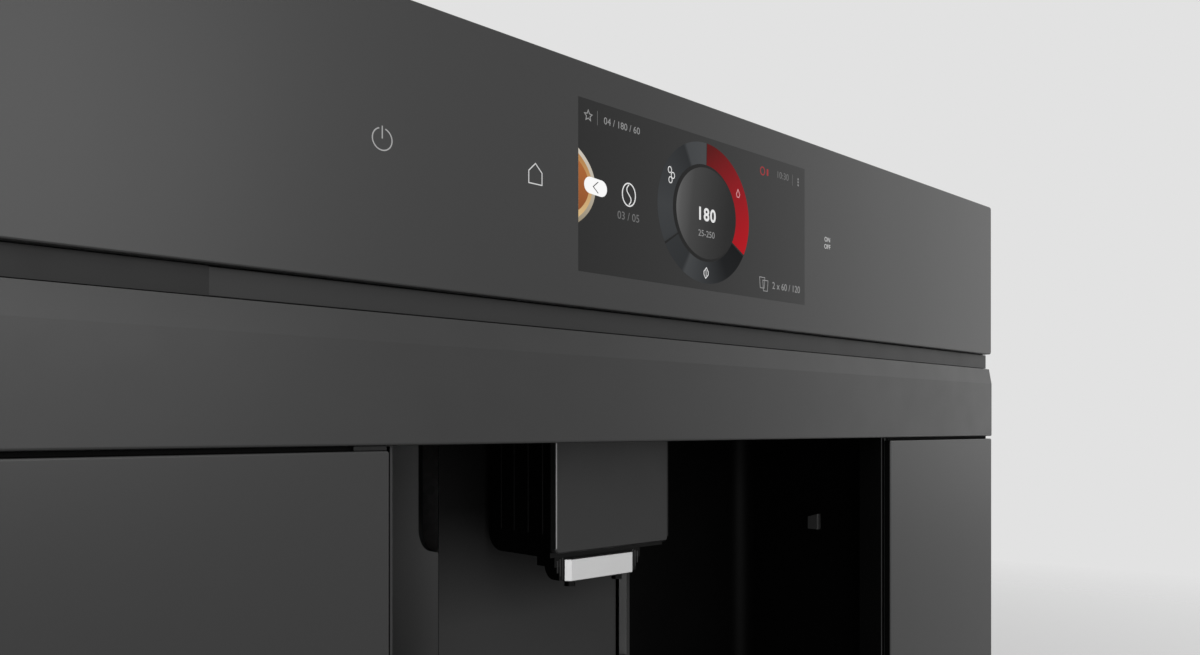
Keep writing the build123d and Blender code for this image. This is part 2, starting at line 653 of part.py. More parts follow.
def outlet_trim():
    """The bright bar across the front of the frother, with bevelled ends."""
    trim = block((-TRIM_WIDTH / 2, TRIM_WIDTH / 2), (TRIM_FRONT, TRIM_BACK), (TRIM_BOTTOM, TRIM_TOP))
    front_ends = trim.faces().sort_by(Axis.Y)[0].edges().filter_by(Axis.Z)
    return chamfer(front_ends, TRIM_BEVEL)


# ---- Door -----------------------------------------------------------------------------------
STRIKE = (20.0, 1.5, 24.0)
STRIKE_X = HALF - 20.0
STRIKE_Z = 190.0
BUMPER_RADIUS = 4.0


def door_bar():
    """The broad bar under the groove: a channel with a bevelled top, open towards the rear."""
    points = [
        (FRONT, BAR_BOTTOM),
        (FRONT, BAR_TOP - BAR_BEVEL_HEIGHT),
        (FRONT + BAR_BEVEL_DEPTH, BAR_TOP),
        (DOOR_BACK, BAR_TOP),
        (DOOR_BACK, BAR_TOP - BAR_WALL),
        (FRONT + BAR_BEVEL_DEPTH + BAR_WALL, BAR_TOP - BAR_WALL),
        (FRONT + BAR_WALL, BAR_TOP - BAR_BEVEL_HEIGHT - 1.0),
        (FRONT + BAR_WALL, BAR_BOTTOM),
    ]
    section = make_face(Plane.YZ * Polyline(points, close=True))
    bar = extrude(section, HALF, both=True)
    bar = fillet(edges_at(bar, Axis.X, Y=FRONT, Z=BAR_BOTTOM), 1.0)
    bar -= post(PIN_RADIUS + RUNNING_FIT, PIN_X, PIN_Y, (BAR_TOP - BAR_WALL - 1, BAR_TOP + 1))
    return bar


def door_panel(side):
    """One of the two flat lower panels, with small round corners."""
    x = sorted((side * OPENING_HALF, side * HALF))
    return front_plate(x, (FRONT, SKIN_BACK), (FRONT_BOTTOM, PANEL_TOP), PANEL_CORNER)


def door_frame():
    """The carrier behind the bar and the panels: two stiles and a cross rail, pocketed from behind."""
    rail_z = (BAR_BOTTOM + 17.0, BAR_TOP - BAR_WALL)
    rail_front = FRONT + BAR_BEVEL_DEPTH + BAR_WALL + 1.0
    frame = block((-HALF + 3.0, HALF - 3.0), (rail_front, DOOR_BACK), rail_z)
    for side in (-1, 1):
        x = sorted((side * LIP_HALF, side * (HALF - 3.0)))
        frame += block(x, (SKIN_BACK, DOOR_BACK), (FRONT_BOTTOM, rail_z[0] + 5.0))
        pocket_x = sorted((side * (LIP_HALF + 16.0), side * (HALF - 36.0)))
        for z in ((FRONT_BOTTOM + 8.0, 95.0), (101.0, 170.0), (176.0, 240.0)):
            frame -= block(pocket_x, (SKIN_BACK + 3.0, DOOR_BACK + 1), z)
    for z in ((FRONT_BOTTOM - 1, FRONT_BOTTOM + 30.0), (BAR_TOP - BAR_WALL - 20.0, BAR_TOP)):
        frame -= post(PIN_RADIUS + RUNNING_FIT, PIN_X, PIN_Y, z)
    frame -= block(
        (STRIKE_X - STRIKE[0] / 2, STRIKE_X + STRIKE[0] / 2),
        (DOOR_BACK - STRIKE[1], DOOR_BACK + 1),
        (STRIKE_Z - STRIKE[2] / 2, STRIKE_Z + STRIKE[2] / 2),
    )
    return frame


def door_strike():
    return block(
        (STRIKE_X - STRIKE[0] / 2, STRIKE_X + STRIKE[0] / 2),
        (DOOR_BACK - STRIKE[1], DOOR_BACK),
        (STRIKE_Z - STRIKE[2] / 2, STRIKE_Z + STRIKE[2] / 2),
    )


def door_magnet():
    return block(
        (STRIKE_X - STRIKE[0] / 2, STRIKE_X + STRIKE[0] / 2),
        (DOOR_BACK + SEAT_GAP, FRAME_FRONT),
        (STRIKE_Z - STRIKE[2] / 2, STRIKE_Z + STRIKE[2] / 2),
    )


def door_bumpers():
    pads = []
    for z in (FRONT_BOTTOM + 20.0, STRIKE_Z + 60.0):
        for x in (-HALF + 26.0, HALF - 22.0):
            pads.append(stud(BUMPER_RADIUS, x, (DOOR_BACK, FRAME_FRONT - SEAT_GAP), z))
    return group(pads)


def hinge_pins():
    lower = post(PIN_RADIUS, PIN_X, PIN_Y, (HINGE_BOTTOM_Z, FRONT_BOTTOM + 29.0))
    upper = post(PIN_RADIUS, PIN_X, PIN_Y, (BAR_TOP - BAR_WALL - 19.0, HINGE_TOP_Z + HINGE_PLATE))
    return group([lower, upper])


def hinge_plate(z):
    """A plate that stands forward of the steel face and holds a hinge pin."""
    plate = block((-HALF + 1.0, -HALF + HINGE_PLATE_LENGTH), (PIN_Y - 6.0, FRAME_FRONT), (z, z + HINGE_PLATE))
    plate = fillet(edges_at(plate, Axis.Z, X=-HALF + 1.0, Y=PIN_Y - 6.0), 5.0)
    return plate - post(PIN_RADIUS + RUNNING_FIT, PIN_X, PIN_Y, (z - 1, z + HINGE_PLATE + 1))


def hinge_plates():
    """The upper plate meets the steel face; the lower one also reaches under the base."""
    tongue = block(
        (-BODY_HALF, -HALF + HINGE_PLATE_LENGTH),
        (FRAME_FRONT - 1.0, FRAME_BACK + HINGE_TONGUE),
        (HINGE_BOTTOM_Z, HINGE_BOTTOM_Z + HINGE_PLATE),
    )
    return group([hinge_plate(HINGE_TOP_Z), hinge_plate(HINGE_BOTTOM_Z) + tongue])


# ---- Drip tray ------------------------------------------------------------------------------
FLOAT_X = -TRAY_HALF + 40.0
FLOAT_Y = FRONT + 40.0
FLOAT_WALL = 1.8


def drip_tray():
    tray = tub(
        (-TRAY_BODY_HALF, TRAY_BODY_HALF),
        (SKIN_BACK, TRAY_BACK),
        (BAY_FLOOR + SEAT_GAP, TRAY_TOP),
        TRAY_WALL,
        TRAY_WALL,
    )
    floor = BAY_FLOOR + SEAT_GAP + TRAY_WALL
    guide = post(FLOAT_RADIUS + SEAT_GAP + FLOAT_WALL, FLOAT_X, FLOAT_Y, (floor - 0.5, floor + 30.0))
    guide -= post(FLOAT_RADIUS + SEAT_GAP, FLOAT_X, FLOAT_Y, (floor, floor + 31.0))
    tray += guide
    rib_x = (-TRAY_BODY_HALF + 1, TRAY_BODY_HALF - 1)
    for side in (-1, 1):
        rib_y = (SKIN_BACK + TRAY_BACK) / 2 + side * 30.0
        tray += block(rib_x, (rib_y - 1.0, rib_y + 1.0), (floor - 0.5, floor + 8.0))
    return tray


def drip_tray_front():
    z = (FRONT_BOTTOM, TRAY_TOP)
    return front_plate((-TRAY_HALF, TRAY_HALF), (FRONT, SKIN_BACK), z, PANEL_CORNER)


def drip_grate():
    y = (SKIN_BACK + 0.5, GRATE_BACK)
    z = (TRAY_TOP + SEAT_GAP, TRAY_TOP + SEAT_GAP + GRATE_THICKNESS)
    grate = block((-TRAY_BODY_HALF, TRAY_BODY_HALF), y, z)
    grate = fillet(grate.edges().filter_by(Axis.Z), GRATE_CORNER)
    middle = (y[0] + y[1]) / 2
    slot_half = GRATE_SLOT_WIDTH / 2
    count = int((2 * TRAY_BODY_HALF - 24.0) / GRATE_SLOT_PITCH)
    first = -(count - 1) * GRATE_SLOT_PITCH / 2
    for number in range(count):
        x = first + number * GRATE_SLOT_PITCH
        for slot_y in ((y[0] + 10.0, middle - 4.0), (middle + 4.0, y[1] - 10.0)):
            near_float = abs(x - FLOAT_X) < 14.0 and slot_y[0] < FLOAT_Y + 12.0
            if not near_float:
                slot = block((x - slot_half, x + slot_half), slot_y, (z[0] - 1, z[1] + 1))
                grate -= fillet(slot.edges().filter_by(Axis.Z), slot_half - 0.1)
    return grate - post(FLOAT_RADIUS + SLIDE_GAP, FLOAT_X, FLOAT_Y, (z[0] - 1, z[1] + 1))


def tray_float():
    floor = BAY_FLOOR + SEAT_GAP + TRAY_WALL
    top = TRAY_TOP + SEAT_GAP + GRATE_THICKNESS
    body = post(FLOAT_RADIUS, FLOAT_X, FLOAT_Y, (floor + SEAT_GAP, top))
    return fillet(body.edges().group_by(Axis.Z)[-1], 1.5)


# ---- Water tank and its dock ----------------------------------------------------------------
SPIGOT_Z = TANK_BOTTOM + 22.0
LID = 3.0


def water_tank():
    x = (-BAY_FAR, -BAY_NEAR)
    tank = tub(x, (TANK_FRONT, TANK_BACK), (TANK_BOTTOM, TANK_TOP), TANK_WALL, TANK_WALL)
    tank = fillet(edges_at(tank, Axis.Z, Y=TANK_FRONT), 3.0)
    tank += stud(SPIGOT_RADIUS, -BAY_MID, (TANK_BACK - 0.5, TANK_BACK + SPIGOT_LENGTH), SPIGOT_Z)
    bore_y = (TANK_BACK - TANK_WALL - 1, TANK_BACK + SPIGOT_LENGTH + 1)
    return tank - stud(SPIGOT_RADIUS - 2.5, -BAY_MID, bore_y, SPIGOT_Z)


def tank_lid():
    lid = block((-BAY_FAR, -BAY_NEAR), (TANK_FRONT, TANK_BACK), (TANK_TOP, TANK_TOP + LID))
    lid = fillet(edges_at(lid, Axis.Z, Y=TANK_FRONT), 3.0)
    finger_hole = post(10.0, -BAY_MID, TANK_FRONT + 30.0, (TANK_TOP - 1, TANK_TOP + LID + 1))
    return lid - finger_hole


def tank_dock():
    """The socket behind the tank, on the tank shelf, which the tank's spigot slides into."""
    y = (TANK_BACK + SEAT_GAP, DOCK_BACK)
    dock = block((-BAY_MID - 15.0, -BAY_MID + 15.0), y, (TANK_SHELF + SHELF, SPIGOT_Z + 14.0))
    dock = fillet(edges_at(dock, Axis.Y, Z=SPIGOT_Z + 14.0), 4.0)
    dock -= stud(SPIGOT_RADIUS + RUNNING_FIT, -BAY_MID, (y[0] - 1, TANK_BACK + SPIGOT_LENGTH + 1.0), SPIGOT_Z)
    return dock - stud(3.0, -BAY_MID, (y[0], y[1] + 1), SPIGOT_Z)


# ---- Bean hopper, grinder, brew unit, grounds -----------------------------------------------
GRINDER_RADIUS = 34.0
GRINDER_HEIGHT = 54.0
GRINDER_WALL = 4.0
THROAT_RADIUS = 14.0
MOTOR_RADIUS = 30.0
SHAFT_RADIUS = 4.0
BURR_RADIUS = 22.0
GRINDER_TOP = HOPPER_SHELF - 0.5
GRINDER_BOTTOM = GRINDER_TOP - GRINDER_HEIGHT


def bean_hopper():
    """A bin whose floor falls from the front to the outlet hole at the rear."""
    x = (BAY_NEAR, BAY_FAR)
    hopper = block(x, (DRAWER_FRONT, HOPPER_BACK), (HOPPER_BOTTOM, HOPPER_TOP))
    wall = HOPPER_WALL
    low = HOPPER_BOTTOM + wall
    outline = [
        (DRAWER_FRONT + wall, HOPPER_TOP + 1.0),
        (DRAWER_FRONT + wall, low + 45.0),
        (GRINDER_Y - HOPPER_OUTLET_RADIUS - 2.0, low),
        (HOPPER_BACK - wall, low),
        (HOPPER_BACK - wall, HOPPER_TOP + 1.0),
    ]
    cavity = extrude(make_face(Plane.YZ * Polyline(outline, close=True)), BAY_WIDTH / 2 - wall, both=True)
    hopper -= Pos(BAY_MID, 0, 0) * cavity
    hopper -= post(HOPPER_OUTLET_RADIUS, BAY_MID, GRINDER_Y, (HOPPER_BOTTOM - 1, HOPPER_TOP))
    return hopper


def hopper_lid():
    lid = block((BAY_NEAR, BAY_FAR), (DRAWER_FRONT, HOPPER_BACK), (HOPPER_TOP, HOPPER_TOP + LID))
    grip_y = (DRAWER_FRONT - 1, DRAWER_FRONT + 5.0)
    return lid - block((BAY_MID - 15.0, BAY_MID + 15.0), grip_y, (HOPPER_TOP - 1, HOPPER_TOP + LID + 1))


def grinder_housing():
    """The burr chamber under the hopper, with its throat and the chute to the brew unit."""
    axis = (BAY_MID, GRINDER_Y)
    housing = post(GRINDER_RADIUS, *axis, (GRINDER_BOTTOM, GRINDER_TOP))
    housing += post(THROAT_RADIUS, *axis, (GRINDER_TOP - 1.0, HOPPER_SHELF + SHELF))
    chute_y = (BREW_BACK + SEAT_GAP + 1.0, GRINDER_Y)
    housing += block((BAY_MID - 8.0, BAY_MID + 8.0), chute_y, (GRINDER_BOTTOM, GRINDER_BOTTOM + 16.0))
    chamber_top = GRINDER_TOP - GRINDER_WALL
    housing -= post(GRINDER_RADIUS - GRINDER_WALL, *axis, (GRINDER_BOTTOM + GRINDER_WALL, chamber_top))
    housing -= post(THROAT_RADIUS - 2.0, *axis, (chamber_top - 1.0, HOPPER_SHELF + SHELF + 1.0))
    floor_z = (GRINDER_BOTTOM - 1.0, GRINDER_BOTTOM + GRINDER_WALL + 1.0)
    housing -= post(SHAFT_RADIUS + RUNNING_FIT, *axis, floor_z)
    passage_z = (GRINDER_BOTTOM + 5.0, GRINDER_BOTTOM + 12.0)
    return housing - block((BAY_MID - 5.0, BAY_MID + 5.0), (BREW_BACK, GRINDER_Y), passage_z)


def grinder_motor():
    axis = (BAY_MID, GRINDER_Y)
    motor = post(MOTOR_RADIUS, *axis, (BREW_SHELF + SHELF, GRINDER_BOTTOM))
    motor = chamfer(motor.edges().group_by(Axis.Z)[0], 2.0)
    return motor - post(SHAFT_RADIUS + RUNNING_FIT, *axis, (GRINDER_BOTTOM - 40.0, GRINDER_BOTTOM + 1.0))


def grinder_rotor():
    """Motor shaft with the lower burr and a sweeper, free to turn in the chamber."""
    axis = (BAY_MID, GRINDER_Y)
    burr_bottom = GRINDER_BOTTOM + GRINDER_WALL + 2.0
    rotor = post(SHAFT_RADIUS, *axis, (GRINDER_BOTTOM - 40.0 + SEAT_GAP, burr_bottom + 24.0))
    rotor += post(BURR_RADIUS, *axis, (burr_bottom, burr_bottom + 8.0))
    rotor += Pos(*axis, burr_bottom + 16.0) * Cone(BURR_RADIUS - 6.0, SHAFT_RADIUS + 2.0, 16.0)
    for angle in range(0, 360, 90):
        vane = block((BURR_RADIUS - 2.0, BURR_RADIUS + 4.0), (-1.5, 1.5), (burr_bottom, burr_bottom + 6.0))
        rotor += Pos(*axis, 0) * Rot(0, 0, angle) * vane
    return rotor


BREW_AXIS_Y = BREW_FRONT + 55.0
CYLINDER_BORE = 22.0
CYLINDER_WALL = 3.5
CYLINDER_BOTTOM = BREW_BOTTOM + 22.0
CYLINDER_HEIGHT = 58.0
BRIDGE = 4.0
BRIDGE_Z = BREW_TOP - 22.0
SPINDLE_RADIUS = 5.0
SPINDLE_HEAD_RADIUS = 12.0
PISTON_THICKNESS = 10.0
LEVER_Z = BREW_TOP - 26.0
LEVER_LENGTH = 28.0
LEVER_HUB = 9.0


def brew_frame():
    """The brew unit's housing, open on its left side, with the brew cylinder and a bearing bridge."""
    x = (BAY_NEAR, BAY_FAR)
    frame = block(x, (BREW_FRONT, BREW_BACK), (BREW_BOTTOM, BREW_TOP))
    frame -= block(
        (x[0] - 1, x[1] - BREW_WALL),
        (BREW_FRONT + BREW_WALL, BREW_BACK - BREW_WALL),
        (BREW_BOTTOM + BREW_WALL, BREW_TOP - BREW_WALL),
    )
    y = (BREW_FRONT + 1, BREW_BACK - 1)
    axis = (BAY_MID, BREW_AXIS_Y)
    cylinder_top = CYLINDER_BOTTOM + CYLINDER_HEIGHT
    frame += block((BAY_MID - 30.0, x[1] - 1), y, (CYLINDER_BOTTOM - 4.0, CYLINDER_BOTTOM))
    frame += block((BAY_MID - 15.0, x[1] - 1), y, (BRIDGE_Z, BRIDGE_Z + BRIDGE))
    frame += post(CYLINDER_BORE + CYLINDER_WALL, *axis, (CYLINDER_BOTTOM - 1, cylinder_top))
    frame -= post(CYLINDER_BORE + RUNNING_FIT, *axis, (CYLINDER_BOTTOM, cylinder_top + 1))
    frame -= post(SPINDLE_RADIUS + RUNNING_FIT, *axis, (BRIDGE_Z - 1, BRIDGE_Z + BRIDGE + 1))
    frame -= stud(PIN_RADIUS + RUNNING_FIT, BAY_MID, (BREW_FRONT - 1, BREW_FRONT + BREW_WALL + 1), LEVER_Z)
    frame -= block(
        (BAY_MID - 6.0, BAY_MID + 6.0),
        (BREW_BACK - BREW_WALL - 1, BREW_BACK + 1),
        (GRINDER_BOTTOM + 4.0, GRINDER_BOTTOM + 13.0),
    )
    return frame


def brew_piston():
    """The brewing piston and its hollow stem, which rides on the spindle."""
    disc_bottom = CYLINDER_BOTTOM + CYLINDER_HEIGHT - PISTON_THICKNESS - 6.0
    stem_top = BRIDGE_Z - 4.0
    axis = (BAY_MID, BREW_AXIS_Y)
    disc_top = disc_bottom + PISTON_THICKNESS
    piston = post(CYLINDER_BORE, *axis, (disc_bottom, disc_top))
    piston += post(SPINDLE_RADIUS + 3.5, *axis, (disc_bottom + 1.0, stem_top))
    return piston - post(SPINDLE_RADIUS + RUNNING_FIT, *axis, (disc_top, stem_top + 1))


def brew_spindle():
    disc_top = CYLINDER_BOTTOM + CYLINDER_HEIGHT - 6.0
    head = (BRIDGE_Z + BRIDGE + SEAT_GAP, BRIDGE_Z + BRIDGE + SEAT_GAP + 5.0)
    spindle = post(SPINDLE_RADIUS, BAY_MID, BREW_AXIS_Y, (disc_top + 2.0, head[1]))
    spindle += post(SPINDLE_HEAD_RADIUS, BAY_MID, BREW_AXIS_Y, head)
    for angle in range(0, 360, 60):
        notch = post(2.0, SPINDLE_HEAD_RADIUS, 0, (head[0] - 1, head[1] + 1))
        spindle -= Pos(BAY_MID, BREW_AXIS_Y, 0) * Rot(0, 0, angle) * notch
    return spindle


def brew_lever():
    """The lever on the front that locks the brew unit; it hangs down when locked."""
    y = (BREW_FRONT - 3.5, BREW_FRONT - SEAT_GAP)
    lever = stud(LEVER_HUB, BAY_MID, y, LEVER_Z)
    lever += block((BAY_MID - 5.0, BAY_MID + 5.0), y, (LEVER_Z - LEVER_LENGTH, LEVER_Z))
    lever = fillet(edges_at(lever, Axis.Y, Z=LEVER_Z - LEVER_LENGTH), 4.0)
    return lever + stud(PIN_RADIUS, BAY_MID, (y[1] - 0.5, BREW_FRONT + BREW_WALL), LEVER_Z)


def grounds_container():
    """The drawer for used coffee, with a finger scoop in its front wall."""
    x = (BAY_NEAR, BAY_FAR)
    y = (DRAWER_FRONT, DRAWER_FRONT + GROUNDS_DEPTH)
    bin_ = tub(x, y, (GROUNDS_BOTTOM, GROUNDS_TOP), GROUNDS_WALL, GROUNDS_WALL)
    return bin_ - stud(14.0, BAY_MID, (y[0] - 1, y[0] + GROUNDS_WALL + 1), GROUNDS_TOP)


# ---- Small controls behind the door ---------------------------------------------------------
SWITCH_HALF_WIDTH = 7.0
SWITCH_HALF_HEIGHT = 11.0
SWITCH_PROUD = 2.0
CRADLE_WALL = 2.0
SWITCH_X = -(FRAME_BAY_FAR + BODY_IN) / 2
SWITCH_Z = 200.0
SWITCH_AXLE = 2.0
SWITCH_AXLE_Y = FRAME_BACK + 2.5
KNOB_X = (FRAME_BAY_FAR + BODY_IN) / 2
KNOB_Z = 275.0
KNOB_RADIUS = 9.0
KNOB_STEM = 3.5


def mains_switch():
    """The rocker of the mains switch; it tips about a left-to-right axle in the middle."""
    half_width = SWITCH_HALF_WIDTH - SEAT_GAP
    half = SWITCH_HALF_HEIGHT - SLIDE_GAP
    points = [
        (FRAME_FRONT - SWITCH_PROUD, SWITCH_Z - half),
        (FRAME_FRONT - SWITCH_PROUD + 0.8, SWITCH_Z),
        (FRAME_FRONT - SWITCH_PROUD, SWITCH_Z + half),
        (FRAME_BACK + 1.0, SWITCH_Z + half),
        (SWITCH_AXLE_Y + SWITCH_AXLE + 2.0, SWITCH_Z + 3.0),
        (SWITCH_AXLE_Y + SWITCH_AXLE + 2.0, SWITCH_Z - 3.0),
        (FRAME_BACK + 1.0, SWITCH_Z - half),
    ]
    rocker = extrude(make_face(Plane.YZ * Polyline(points, close=True)), half_width, both=True)
    bore_x = (SWITCH_X - SWITCH_HALF_WIDTH, SWITCH_X + SWITCH_HALF_WIDTH)
    return Pos(SWITCH_X, 0, 0) * rocker - bar_x(SWITCH_AXLE + RUNNING_FIT, bore_x, SWITCH_AXLE_Y, SWITCH_Z)


def switch_cradle():
    """The fixed cradle of the mains switch, on the back of the steel face, with its axle."""
    outer = block(
        (SWITCH_X - SWITCH_HALF_WIDTH - CRADLE_WALL, SWITCH_X + SWITCH_HALF_WIDTH + CRADLE_WALL),
        (FRAME_BACK, FRAME_BACK + 14.0),
        (SWITCH_Z - SWITCH_HALF_HEIGHT - CRADLE_WALL, SWITCH_Z + SWITCH_HALF_HEIGHT + CRADLE_WALL),
    )
    inner = block(
        (SWITCH_X - SWITCH_HALF_WIDTH, SWITCH_X + SWITCH_HALF_WIDTH),
        (FRAME_BACK - 1.0, FRAME_BACK + 12.0),
        (SWITCH_Z - SWITCH_HALF_HEIGHT, SWITCH_Z + SWITCH_HALF_HEIGHT),
    )
    axle_x = (SWITCH_X - SWITCH_HALF_WIDTH - 0.5, SWITCH_X + SWITCH_HALF_WIDTH + 0.5)
    return outer - inner + bar_x(SWITCH_AXLE, axle_x, SWITCH_AXLE_Y, SWITCH_Z)


def grind_knob():
    """The grind setting knob, with a raised pointer and its stem through the steel face."""
    y = (FRAME_FRONT - 3.3, FRAME_FRONT - SEAT_GAP)
    knob = stud(KNOB_RADIUS, KNOB_X, y, KNOB_Z)
    knob = chamfer(knob.faces().sort_by(Axis.Y)[0].edges(), 0.5)
    pointer_z = (KNOB_Z + 1.0, KNOB_Z + KNOB_RADIUS + 1)
    knob -= block((KNOB_X - 1.0, KNOB_X + 1.0), (y[0] - 1, y[0] + 1.0), pointer_z)
    return knob + stud(KNOB_STEM - RUNNING_FIT, KNOB_X, (y[1] - 0.5, FRAME_BACK + 3.0), KNOB_Z)


# ---- Water system and electrics in the rear -------------------------------------------------
PUMP_RADIUS = 22.0
PUMP_LENGTH = 100.0
PUMP_Y = CHASSIS_BACK + PUMP_RADIUS + 4.0
PUMP_X = (-150.0, -150.0 + PUMP_LENGTH)
HOSE_RADIUS = 4.0
HEATER_X = (90.0, 160.0)
HEATER_Z = (SPIGOT_Z + 28.0, SPIGOT_Z + 168.0)
VALVE_HALF = 15.0
# Across, up from the board's lower edge, half size and height of each large part of the power board.
BOARD_PARTS = (
    (-40.0, 30.0, 12.0, 30.0),
    (0.0, 40.0, 16.0, 24.0),
    (40.0, 30.0, 9.0, 34.0),
    (-20.0, 100.0, 14.0, 20.0),
    (35.0, 105.0, 12.0, 26.0),
)


def chassis_plate():
    plate = block((-NICHE_HALF, NICHE_HALF), (CHASSIS_FRONT, CHASSIS_BACK), (BASE_TOP, BODY_TOP - SHEET))
    return plate - stud(HOSE_RADIUS + 3.0, 0, (CHASSIS_FRONT - 1, CHASSIS_BACK + 1), NICHE_TOP + LINER + 20.0)


def water_pump():
    """A vibration pump on two saddles on the chassis plate."""
    pump = bar_x(PUMP_RADIUS, (PUMP_X[0] + 12.0, PUMP_X[1] - 12.0), PUMP_Y, SPIGOT_Z)
    pump += bar_x(PUMP_RADIUS - 12.0, PUMP_X, PUMP_Y, SPIGOT_Z)
    for x in (PUMP_X[0] + 25.0, PUMP_X[1] - 35.0):
        pump += block((x, x + 10.0), (CHASSIS_BACK, PUMP_Y), (SPIGOT_Z - 15.0, SPIGOT_Z + 15.0))
    return pump


def heater():
    """The through-flow water heater: a ribbed block with a port at each end."""
    y = (CHASSIS_BACK, CHASSIS_BACK + 52.0)
    body = block(HEATER_X, y, HEATER_Z)
    for number in range(5):
        z = HEATER_Z[0] + 20.0 + number * 25.0
        body -= block((HEATER_X[0] - 1, HEATER_X[1] + 1), (y[1] - 6.0, y[1] + 1), (z - 4.0, z + 4.0))
    return body


def power_board():
    """The power board on stand-offs on the chassis plate, with its larger parts."""
    front = CHASSIS_BACK + 6.0
    x = (-60.0, 70.0)
    z = (NICHE_FLOOR + 110.0, NICHE_FLOOR + 250.0)
    board = block(x, (front, front + BOARD), z)
    for px in (x[0] + 6.0, x[1] - 6.0):
        for pz in (z[0] + 6.0, z[1] - 6.0):
            board += stud(3.0, px, (CHASSIS_BACK, front), pz)
    for px, pz, half, tall in BOARD_PARTS:
        part_y = (front + BOARD, front + BOARD + tall)
        board += block((px - half, px + half), part_y, (z[0] + pz - half, z[0] + pz + half))
    return board


def circuit_boards():
    return group([control_board(), power_board()])


def outlet_valve():
    """The valve on the niche ceiling that feeds the outlet."""
    z = (NICHE_TOP + LINER, NICHE_TOP + LINER + 32.0)
    valve = block((-VALVE_HALF, VALVE_HALF), (VALVE_Y - VALVE_HALF, VALVE_Y + VALVE_HALF), z)
    valve = fillet(valve.edges().filter_by(Axis.Z), 3.0)
    return valve + post(10.0, 0, VALVE_Y, (z[1] - 1.0, z[1] + 24.0))


def hose(points, radii):
    """A round hose along straight runs joined by arcs."""
    path = FilletPolyline(*points, radius=radii)
    section = Plane(path @ 0, z_dir=path % 0) * Circle(HOSE_RADIUS)
    return sweep(section, path=path)


def water_hoses():
    z = SPIGOT_Z
    heater_x = (HEATER_X[0] + HEATER_X[1]) / 2
    valve_z = NICHE_TOP + LINER + 20.0
    return group(
        [
            hose([(-BAY_MID, DOCK_BACK, z), (-BAY_MID, PUMP_Y, z), (PUMP_X[0], PUMP_Y, z)], [30.0]),
            hose([(PUMP_X[1], PUMP_Y, z), (heater_x, PUMP_Y, z), (heater_x, PUMP_Y, HEATER_Z[0])], [22.0]),
            hose(
                [
                    (heater_x, PUMP_Y, HEATER_Z[1]),
                    (heater_x, PUMP_Y, valve_z),
                    (0, PUMP_Y, valve_z),
                    (0, VALVE_Y + VALVE_HALF, valve_z),
                ],
                [40.0, 22.0],
            ),
        ]
    )


NODES = {
    "base_tray": base_tray,
    "feet": feet,
    "side_panels": side_panels,
    "top_cover": top_cover,
    "rear_panel": rear_panel,
    "mains_inlet": mains_inlet,
    "front_frame": front_frame,
    "bay_shelves": bay_shelves,
    "control_panel_glass": control_panel_glass,
    "control_panel_housing": control_panel_housing,
    "display_module": display_module,
    "groove_strip": groove_strip,
    "niche_plates": niche_plates,
    "niche_liner_left": lambda: liner_wall(-1, LEFT_BAY_BACK),
    "niche_liner_right": lambda: liner_wall(1, RIGHT_BAY_BACK),
    "hose_clip": hose_clip,
    "column_walls": column_walls,
    "column_front_plate": column_front_plate,
    "guide_rods": guide_rods,
    "outlet_carriage": outlet_carriage,
    "outlet_housing": outlet_housing,
    "outlet_cover": outlet_cover,
    "frother_block": frother_block,
    "outlet_trim": outlet_trim,
    "door_bar": door_bar,
    "door_panel_left": lambda: door_panel(-1),
    "door_panel_right": lambda: door_panel(1),
    "door_frame": door_frame,
    "door_strike": door_strike,
    "door_bumpers": door_bumpers,
    "door_magnet": door_magnet,
    "hinge_pins": hinge_pins,
    "hinge_plates": hinge_plates,
    "drip_tray": drip_tray,
    "drip_tray_front": drip_tray_front,
    "drip_grate": drip_grate,
    "tray_float": tray_float,
    "water_tank": water_tank,
    "tank_lid": tank_lid,
    "tank_dock": tank_dock,
    "bean_hopper": bean_hopper,
    "hopper_lid": hopper_lid,
    "grinder_housing": grinder_housing,
    "grinder_motor": grinder_motor,
    "grinder_rotor": grinder_rotor,
    "brew_frame": brew_frame,
    "brew_piston": brew_piston,
    "brew_spindle": brew_spindle,
    "brew_lever": brew_lever,
    "grounds_container": grounds_container,
    "mains_switch": mains_switch,
    "switch_cradle": switch_cradle,
    "grind_knob": grind_knob,
    "chassis_plate": chassis_plate,
    "water_pump": water_pump,
    "heater": heater,
    "circuit_boards": circuit_boards,
    "outlet_valve": outlet_valve,
    "water_hoses": water_hoses,
}

os.makedirs("parts", exist_ok=True)
for name, make in NODES.items():
    export_step(make(), "parts/" + name + ".step")
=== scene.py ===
import json
import math

import bmesh
import bpy
from mathutils import Matrix, Vector


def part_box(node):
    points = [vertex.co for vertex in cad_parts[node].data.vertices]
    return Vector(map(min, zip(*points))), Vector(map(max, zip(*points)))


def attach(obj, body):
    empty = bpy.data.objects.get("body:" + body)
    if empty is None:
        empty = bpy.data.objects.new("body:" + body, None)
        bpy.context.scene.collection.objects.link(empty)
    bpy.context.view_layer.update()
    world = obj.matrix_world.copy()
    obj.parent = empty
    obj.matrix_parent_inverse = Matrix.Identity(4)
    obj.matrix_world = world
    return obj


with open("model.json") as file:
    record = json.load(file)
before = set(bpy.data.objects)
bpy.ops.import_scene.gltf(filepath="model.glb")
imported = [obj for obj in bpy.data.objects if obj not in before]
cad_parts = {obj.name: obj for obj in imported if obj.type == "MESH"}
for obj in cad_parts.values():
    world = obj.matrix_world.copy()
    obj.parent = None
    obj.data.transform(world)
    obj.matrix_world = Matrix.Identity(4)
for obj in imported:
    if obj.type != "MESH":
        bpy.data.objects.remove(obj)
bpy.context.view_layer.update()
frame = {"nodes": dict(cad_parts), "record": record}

# Lengths in this script are millimetres, like the part's own; MM turns them into Blender's metres.
MM = 0.001


